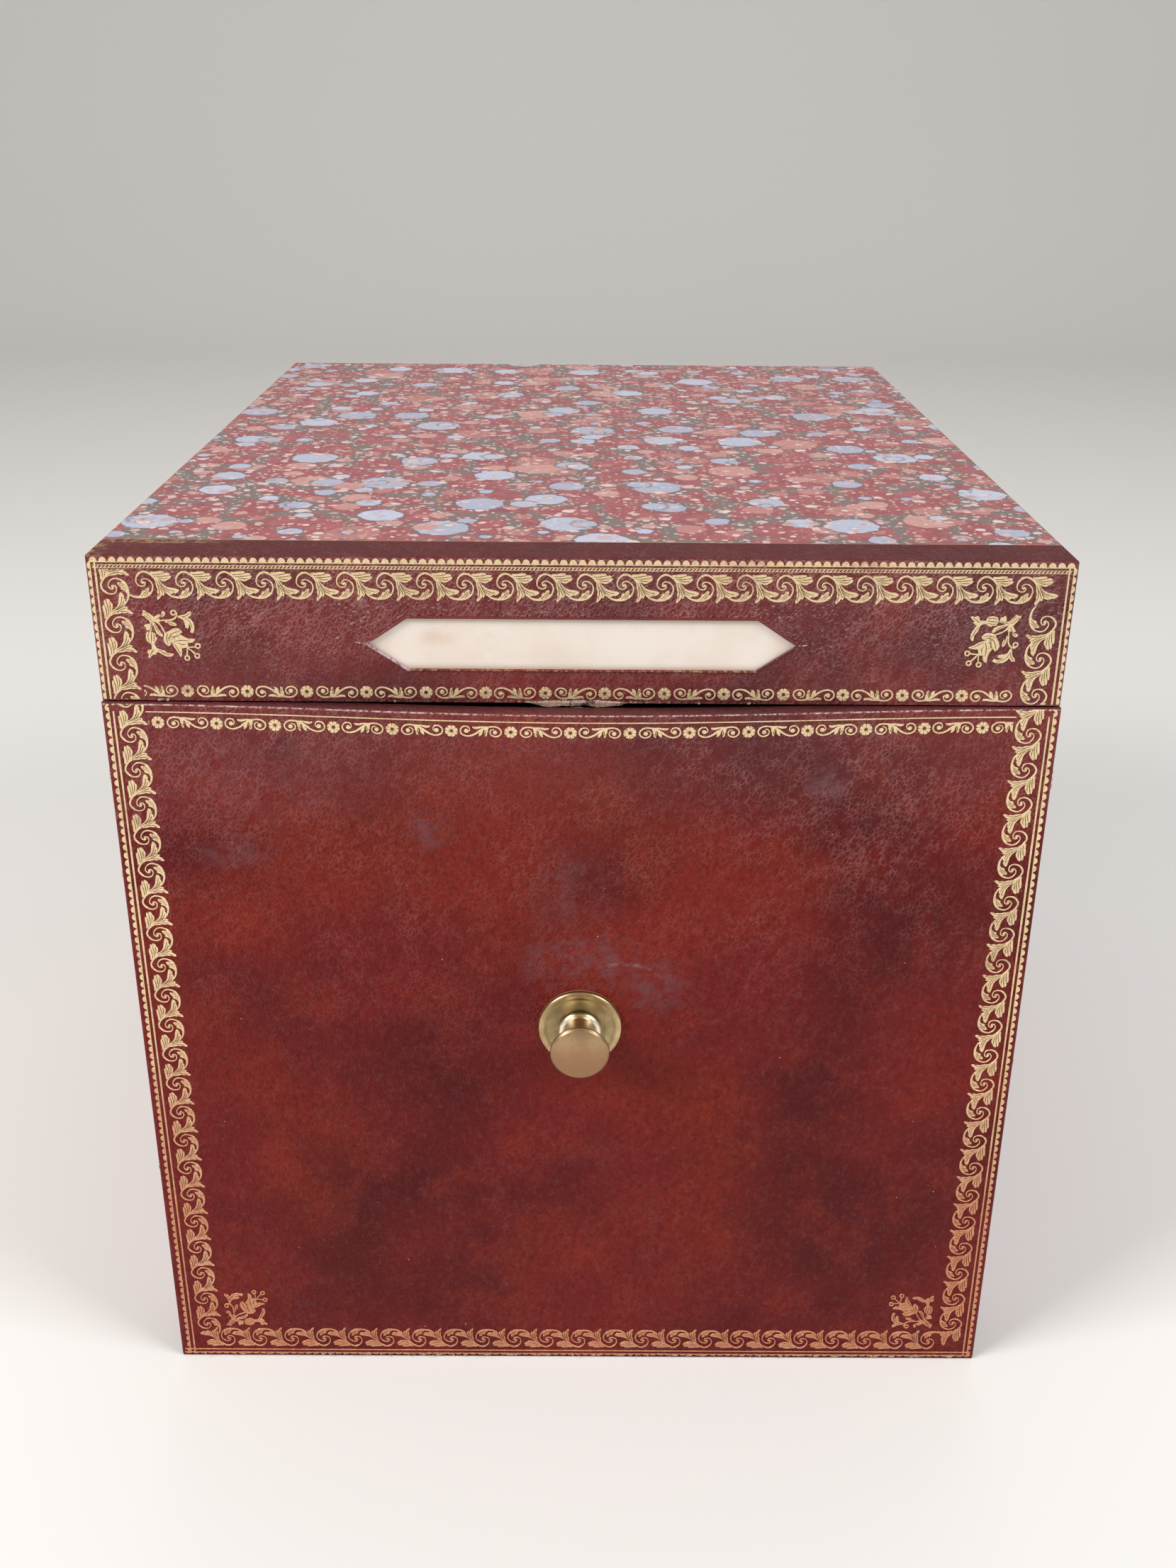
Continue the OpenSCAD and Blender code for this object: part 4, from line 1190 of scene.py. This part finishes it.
def raggedFlake(points, faces, centre, size, normalY, lift, seed):
    # a small torn scrap lying on a face that looks towards the front, with an uneven outline
    rough = random.Random(seed)
    count = 9
    outline = []
    for i in range(count):
        angle = 2 * math.pi * i / count
        reach = 0.55 + rough.random() * 0.45
        outline.append((centre[0] + size[0] / 2 * reach * math.cos(angle),
                        centre[1] + size[1] / 2 * reach * math.sin(angle)))
    base = len(points)
    for depth in (lift, -0.05):
        points += [(x * mm, (normalY - depth * (0.7 + 0.3 * rough.random())) * mm, z * mm) for x, z in outline]
    faces.append(tuple(base + i for i in range(count)))
    faces.append(tuple(base + count + i for i in reversed(range(count))))
    faces += [(base + i, base + count + i, base + count + (i + 1) % count, base + (i + 1) % count)
              for i in range(count)]


def fibre(points, faces, start, end, r, sag):  # a thin thread of torn skin
    steps = 6
    base = len(points)
    rings = []
    for i in range(steps + 1):
        t = i / steps
        at = Vector(start).lerp(Vector(end), t) + Vector((0, sag[0], sag[1])) * math.sin(math.pi * t)
        width = r * (1 - 0.6 * t)
        rings += [((at.x + width * math.cos(a)) * mm, (at.y + width * math.sin(a)) * mm, at.z * mm)
                  for a in (0.0, 2.094, 4.189)]
    sides = []
    joinRings(rings, 3, sides, False)
    faces += [tuple(base + k for k in face) for face in sides]
    points += rings


fray = {"from": -15.3, "to": 13.0, "top": 0.9, "hang": 1.9, "step": 0.40, "strands": 9, "strandThick": 0.16,
        "tails": 7, "tailThick": 0.09}
lidNicks = [(-118.5, 2.4), (-116.4, 1.3), (47.0, 1.2), (-52.6, 0.9), (33.0, 1.0)]  # x and width in mm


def lidFray():
    points = []
    faces = []
    rough = random.Random(12)
    count = round((fray["to"] - fray["from"]) / fray["step"])
    front = []
    for i in range(count + 1):
        x = fray["from"] + (fray["to"] - fray["from"]) * i / count
        taper = min(1.0, 4 * i / count, 4 * (count - i) / count)
        upper = rim + 0.15 + (fray["top"] * (0.45 + 0.55 * rough.random())) * taper
        scrap = 0.5 + 0.5 * math.cos(2 * math.pi * (i / count - 0.08) * 1.15)
        lower = rim - fray["hang"] * (0.22 + 0.55 * scrap + 0.16 * rough.random()) * taper
        front.append((x, upper, lower, 0.10 + 0.22 * rough.random()))
    for x, upper, lower, lift in front:
        points += [(x * mm, (lidLow[1] - 0.04) * mm, upper * mm), (x * mm, (lidLow[1] - lift) * mm, (rim + 0.1) * mm),
                   (x * mm, (lidLow[1] + 0.25 - lift) * mm, lower * mm), (x * mm, (lidLow[1] + 0.6) * mm, rim * mm)]
    joinRings(points, 4, faces, False)
    for i in range(fray["strands"]):
        x = fray["from"] + 3 + (fray["to"] - fray["from"] - 8) * i / fray["strands"]
        low = rim - 0.3 - 1.2 * rough.random()
        fibre(points, faces, (x, lidLow[1] + 0.2, low + 0.2), (x + 5.5, lidLow[1] - 0.1, low - 0.2 * rough.random()),
              fray["strandThick"], (-0.3, -0.2))
    for _ in range(fray["tails"]):
        x = fray["from"] + 1 + rough.random() * (fray["to"] - fray["from"] - 2)
        fall = 0.7 + rough.random() * 1.5
        lean = (rough.random() - 0.5) * 2.4
        fibre(points, faces, (x, lidLow[1] - 0.05, rim + 0.2), (x + lean, lidLow[1] + 0.7, rim - fall),
              fray["tailThick"], (-0.25, 0.0))
    makePiece("lidFray", points, faces, paints["fray"], "lid", smooth=False)
    points = []
    faces = []
    for i, (x, wide) in enumerate(lidNicks):
        raggedFlake(points, faces, (x, rim + 0.25), (wide, 0.9), lidLow[1], 0.16, i)
    makePiece("lidNicks", points, faces, paints["fray"], "lid", smooth=False)


footWear = {"flakes": 44, "flakeReach": 127, "threads": 26, "threadReach": 125, "threadThick": 0.08}
sideNicks = [(-1, 215.7, 3.2), (1, 216.0, 7.0), (-1, 183.7, 2.2), (1, 120.0, 1.6), (-1, 78.0, 1.4)]  # side, z, length


def flapWear():
    points = []
    faces = []
    rough = random.Random(31)
    reach = footWear["flakeReach"]
    for i in range(footWear["flakes"]):
        x = -reach + 2 * reach * (i + rough.random()) / footWear["flakes"]
        size = (1.0 + 3.4 * rough.random() ** 2, 0.6 + 0.7 * rough.random())
        raggedFlake(points, faces, (x, flapLow[2] + 0.05 + size[1] / 2), size, flapLow[1] + 0.35, 0.42, 100 + i)
    reach = footWear["threadReach"]
    for _ in range(footWear["threads"]):
        x = -reach + 2 * reach * rough.random()
        fibre(points, faces, (x, flapLow[1] + 0.1, 0.75), (x + (rough.random() - 0.5) * 3.6, flapLow[1] - 0.8, 0.14),
              footWear["threadThick"], (-0.3, 0.1))
    makePiece("footFray", points, faces, paints["fray"], "front", smooth=False)
    points = []
    faces = []
    for side, height, tall in sideNicks:
        for k in range(3):
            z = height + (k - 1) * tall / 3
            raggedFlake(points, faces, (side * (half - 0.35), z), (1.3, tall / 2.2), flapLow[1] + 0.55, 0.15,
                        round(height) + k)
    makePiece("sideNicks", points, faces, paints["fray"], "front", smooth=False)


lidFray()
flapWear()
print("wear built")


# Camera at the photograph's viewpoint

view = {"place": (0.0003, -0.5797, 0.394), "pitch": -23.67, "roll": -0.441, "yaw": -0.224,
        "focal": 2207.7, "long": 2212.0, "sensor": 36.0}
camera = bpy.data.objects.new("camera", bpy.data.cameras.new("camera"))
bpy.context.scene.collection.objects.link(camera)
camera.data.sensor_width = view["sensor"]
camera.data.lens = view["sensor"] * view["focal"] / view["long"]
camera.data.clip_start = 0.01
turn = (Matrix.Rotation(math.radians(view["yaw"]), 4, "Z") @ Matrix.Rotation(math.radians(view["pitch"]), 4, "X")
        @ Matrix.Rotation(math.radians(view["roll"]), 4, "Y") @ Matrix.Rotation(math.radians(90), 4, "X"))
camera.matrix_world = Matrix.Translation(view["place"]) @ turn
bpy.context.scene.camera = camera


# Floor, backdrop and lights

studio = {"floor": (0.80, 0.785, 0.765), "reach": 3.0, "sweepRadius": 0.9, "world": 0.46,
          "sky": (1.0, 0.99, 0.975, 1), "aim": (0, 0, 0.15)}
lights = {
    "left": {"at": (-1.30, -0.85, 1.30), "size": 0.8, "power": 27, "colour": (1.0, 0.985, 0.96)},
    "right": {"at": (1.30, -0.80, 1.30), "size": 0.8, "power": 19, "colour": (0.98, 0.99, 1.0)},
    "above": {"at": (0.1, 1.0, 1.9), "size": 1.3, "power": 4.5, "colour": (1.0, 0.99, 0.98)},
}


def backdrop():
    reach = studio["reach"]
    r = studio["sweepRadius"]
    profile = [(-reach, 0.0)]
    for i in range(17):
        a = math.pi / 2 * i / 16
        profile.append((reach - r * (1 - math.sin(a)), r * (1 - math.cos(a))))
    profile.append((reach, 2 * reach))
    points = [(side * 2 * reach, y, z - 0.0002) for y, z in profile for side in (-1, 1)]
    faces = [(2 * i, 2 * i + 1, 2 * i + 3, 2 * i + 2) for i in range(len(profile) - 1)]
    p = Paint("studioFloor", Specular_IOR_Level=0.2)
    colour = p.mix(p.noise(900, 2.0), studio["floor"], tuple(0.97 * v for v in studio["floor"]))
    makePiece("backdrop", points, faces, p.finish(Base_Color=colour, Roughness=0.8))


backdrop()
bpy.context.scene.view_settings.view_transform = "Standard"
world = bpy.data.worlds.new("studio")
bpy.context.scene.world = world
world.use_nodes = True
world.node_tree.nodes["Background"].inputs["Color"].default_value = studio["sky"]
world.node_tree.nodes["Background"].inputs["Strength"].default_value = studio["world"]
for name, light in lights.items():
    lamp = bpy.data.objects.new(name, bpy.data.lights.new(name, "AREA"))
    lamp.data.size = light["size"]
    lamp.data.energy = light["power"]
    lamp.data.color = light["colour"]
    lamp.location = light["at"]
    lamp.rotation_euler = (Vector(studio["aim"]) - Vector(light["at"])).to_track_quat("-Z", "Y").to_euler()
    bpy.context.scene.collection.objects.link(lamp)
print("camera, floor and lights set")
